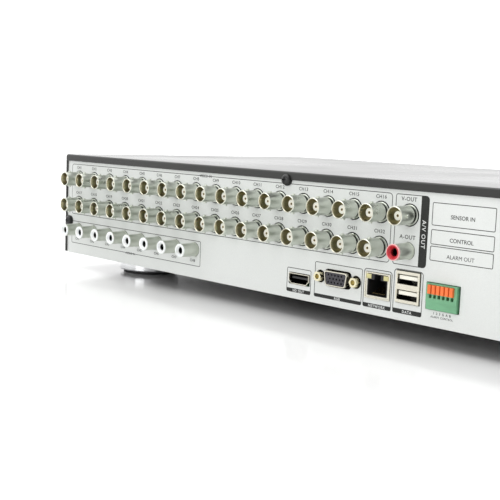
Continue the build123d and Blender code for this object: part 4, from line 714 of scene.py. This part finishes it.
# ================================================================== small metal and plastic details
CORE_FACE = (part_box("jack_insulators")[1].y - PANEL_Y) / MM
SOCKET_IN, SOCKET_OUT = 0.56, 0.72
SOCKET_LIP = 0.04
SOCKET_DEPTH = 0.28
SOCKET_RISE = 0.06
SHADOW_RADIUS = 0.57

video_spots = [(i * PITCH_MM, up) for up in (0.0, -PITCH_MM) for i in range(JACKS_PER_ROW)]
video_spots.append((OUTPUT_ALONG, 0.0))


def jack_sockets():
    """The brass mouth in the middle of every video jack."""
    bm = bmesh.new()
    profile = [
        (SOCKET_IN, CORE_FACE - SOCKET_DEPTH),
        (SOCKET_IN, CORE_FACE),
        (SOCKET_IN + SOCKET_LIP, CORE_FACE + SOCKET_RISE),
        (SOCKET_OUT - SOCKET_LIP, CORE_FACE + SOCKET_RISE),
        (SOCKET_OUT, CORE_FACE),
        (SOCKET_OUT, CORE_FACE - SOCKET_DEPTH),
    ]
    for along, up in video_spots:
        revolve(bm, profile, rear(along, up), 20)
    return to_mesh("jack_sockets", bm, smooth=True)


def socket_shadows():
    """The dark bottoms of those mouths."""
    bm = bmesh.new()
    steps = 16
    angles = [2 * pi * k / steps for k in range(steps)]
    for along, up in video_spots:
        circle = [(along + SHADOW_RADIUS * cos(a), up + SHADOW_RADIUS * sin(a)) for a in angles]
        prism(bm, circle, REAR_FACE, CORE_FACE - 0.29, CORE_FACE - 0.2)
    return to_mesh("socket_shadows", bm)


WIRES = 8
WIRE_STEP = 1.02 * MM
WIRE_FLOOR = 1.85 * MM


def network_wires():
    """Eight gold spring wires in the floor of the network jack."""
    bm = bmesh.new()
    centre = middle("network_insert")
    floor_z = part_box("network_insert")[0].z + WIRE_FLOOR
    for index in range(WIRES):
        x = centre.x + (index - (WIRES - 1) / 2) * WIRE_STEP
        front = Vector((x, PANEL_Y - 1.2 * MM, floor_z))
        back = Vector((x, PANEL_Y - 8.0 * MM, floor_z + 2.8 * MM))
        direction = back - front
        made = bmesh.ops.create_cube(bm, size=1.0)["verts"]
        bmesh.ops.scale(bm, vec=(0.42 * MM, direction.length, 0.25 * MM), verts=made)
        turn = Vector((0, 1, 0)).rotation_difference(direction.normalized()).to_matrix()
        bmesh.ops.rotate(bm, cent=(0, 0, 0), matrix=turn, verts=made)
        bmesh.ops.translate(bm, vec=(front + back) / 2, verts=made)
        edges = list({edge for vert in made for edge in vert.link_edges})
        bmesh.ops.bevel(bm, geom=edges, offset=0.06 * MM, segments=1, affect="EDGES")
    return to_mesh("network_wires", bm)


def tongue_contacts():
    """Gold strips under the data ports' tongues, and on the picture port's tongue."""
    bm = bmesh.new()
    low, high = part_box("usb_tongues")
    centre_x = (low.x + high.x) / 2
    port_middle = middle("usb_shell").z
    for side in (-1, 1):
        under = port_middle + side * 3.95 * MM - 0.05 * MM
        for place in (-3.5, -1.0, 1.0, 3.5):
            left = centre_x + (place - 0.5) * MM
            corner = Vector((left, PANEL_Y - 8.0 * MM, under - 0.12 * MM))
            bevelled_box(bm, corner, corner + Vector((1.0 * MM, 6.6 * MM, 0.14 * MM)), 0.04 * MM)
    hd_middle = middle("hd_port_tongue")
    tongue_top = hd_middle.z + 0.05 * MM
    for index in range(10):
        x = hd_middle.x + (index - 4.5) * 1.0 * MM
        corner = Vector((x - 0.25 * MM, PANEL_Y - 6.5 * MM, tongue_top))
        bevelled_box(bm, corner, corner + Vector((0.5 * MM, 5.0 * MM, 0.1 * MM)), 0.03 * MM)
    return to_mesh("tongue_contacts", bm)


add_piece("jack_sockets", jack_sockets(), "brass")
add_piece("socket_shadows", socket_shadows(), "dark")
add_piece("network_wires", network_wires(), "gold")
add_piece("tongue_contacts", tongue_contacts(), "gold")


# ================================================================== marks on the front
ARROW_REACH = 1.7
KEY_LETTERS = 2.4
RING_OUT, RING_IN = 3.4, 2.7
BAR_HALF = 0.35
BAR_LOW, BAR_HIGH = 0.6, 4.0


def arrow(key, turn):
    """A triangle on a key, pointing up when turn is 0."""
    centre = middle(key + "_button")
    x, z = centre.x / MM, centre.z / MM
    angles = [radians(angle + turn) for angle in (90, 210, 330)]
    bm = bmesh.new()
    points = [(x + ARROW_REACH * cos(a), z + ARROW_REACH * sin(a)) for a in angles]
    prism(bm, points, KEY_FACE, PRINT_UNDER, KEY_PRINT_TOP)
    return to_mesh(key + "_mark", bm)


def power_mark():
    """The usual open ring with a bar."""
    centre = middle("power_button")
    x, z = centre.x / MM, centre.z / MM
    ring = []
    for radius, angles in ((RING_OUT, range(125, 416, 10)), (RING_IN, range(415, 124, -10))):
        ring += [(x + radius * cos(radians(a)), z + radius * sin(radians(a))) for a in angles]
    bm = bmesh.new()
    half = len(ring) // 2
    for i in range(half - 1):
        quad = [ring[i], ring[i + 1], ring[-i - 2], ring[-i - 1]]
        prism(bm, quad, KEY_FACE, PRINT_UNDER, KEY_PRINT_TOP)
    left, right = x - BAR_HALF, x + BAR_HALF
    low, high = z + BAR_LOW, z + BAR_HIGH
    bar = [(left, low), (right, low), (right, high), (left, high)]
    prism(bm, bar, KEY_FACE, PRINT_UNDER, KEY_PRINT_TOP)
    return to_mesh("power_mark", bm)


def key_word(key, text):
    bm = bmesh.new()
    centre = middle(key + "_button")
    words(bm, text, centre.x / MM, centre.z / MM, KEY_LETTERS, place=KEY_FACE)
    return to_mesh(key + "_mark", bm)


for key, turn in (("up", 0), ("down", 180), ("left", 90), ("right", -90)):
    add_piece(key + "_mark", arrow(key, turn), "white_ink", key + "_button")
for key, text in (("menu", "MENU"), ("back", "BACK"), ("enter", "OK")):
    add_piece(key + "_mark", key_word(key, text), "white_ink", key + "_button")
add_piece("power_mark", power_mark(), "white_ink", "power_button")


# ================================================================== floor, light and camera
FLOOR_REACH = 6.0
CAMERA_SIDE = 0.74
BACK_SIDE = 1.75
BACKWARDS = (0.71, -0.70, 0.0)
OVERHEAD = 7.0
REAR_SOFT = 4.5
CAMERA_PLACE = Vector((-0.37066, 0.51861, 0.10326))
CAMERA_FORWARD = Vector((0.70859, -0.69483, -0.12292))
CAMERA_UP = Vector((0.11535, -0.05780, 0.99164))
CAMERA_LENS = 69.315


def make_floor():
    """A pale, slightly glossy table top."""
    made = Shader("floor_white", (0.92, 0.92, 0.92), 0.16, Specular_IOR_Level=0.5)
    drift = made.noise(3.0, 2.0)
    change = made.spread(drift, 0.3, 0.7, 0.0, 1.0)
    made.paint(made.blend(change, (0.90, 0.90, 0.90), (0.93, 0.93, 0.93)))
    made.rough(made.spread(drift, 0.3, 0.7, 0.12, 0.2))
    bm = bmesh.new()
    bmesh.ops.create_grid(bm, x_segments=1, y_segments=1, size=FLOOR_REACH)
    mesh = to_mesh("floor", bm)
    mesh.materials.append(made.material)
    floor = bpy.data.objects.new("floor", mesh)
    scene.collection.objects.link(floor)


def area_light(name, place, target, width, height, power):
    lamp = bpy.data.lights.new(name, "AREA")
    lamp.shape = "RECTANGLE"
    lamp.size = width
    lamp.size_y = height
    lamp.energy = power
    made = bpy.data.objects.new(name, lamp)
    made.location = place
    made.rotation_euler = (Vector(target) - Vector(place)).to_track_quat("-Z", "Y").to_euler()
    scene.collection.objects.link(made)


def make_world():
    """A white studio, brighter behind the recorder than at the camera's side."""
    world = bpy.data.worlds.new("studio")
    world.use_nodes = True
    nodes, links = world.node_tree.nodes, world.node_tree.links
    nodes["Background"].inputs["Color"].default_value = (1.0, 1.0, 1.0, 1.0)
    place = nodes.new("ShaderNodeTexCoord")
    toward = nodes.new("ShaderNodeVectorMath")
    toward.operation = "DOT_PRODUCT"
    toward.inputs[1].default_value = BACKWARDS
    strength = nodes.new("ShaderNodeMapRange")
    reach = {"From Min": -0.6, "From Max": 0.9, "To Min": CAMERA_SIDE, "To Max": BACK_SIDE}
    for socket, value in reach.items():
        strength.inputs[socket].default_value = value
    links.new(place.outputs["Generated"], toward.inputs[0])
    links.new(toward.outputs["Value"], strength.inputs["Value"])
    links.new(strength.outputs["Result"], nodes["Background"].inputs["Strength"])
    scene.world = world


def make_lights():
    area_light("overhead", (0.1, 0.4, 1.3), (0.0, 0.1, 0.0), 1.4, 1.0, OVERHEAD)
    area_light("rear_soft", (-0.2, 1.6, 0.5), (0.0, 0.1, 0.04), 1.0, 0.6, REAR_SOFT)


def make_camera():
    data = bpy.data.cameras.new("camera")
    data.lens = CAMERA_LENS
    data.sensor_width = 36.0
    data.clip_start = 0.01
    camera = bpy.data.objects.new("camera", data)
    back = -CAMERA_FORWARD.normalized()
    right = CAMERA_UP.cross(back).normalized()
    up = back.cross(right)
    turn = Matrix((right, up, back)).transposed().to_4x4()
    camera.matrix_world = Matrix.Translation(CAMERA_PLACE) @ turn
    scene.collection.objects.link(camera)
    scene.camera = camera


make_floor()
make_world()
make_lights()
make_camera()
scene.view_settings.view_transform = "Standard"
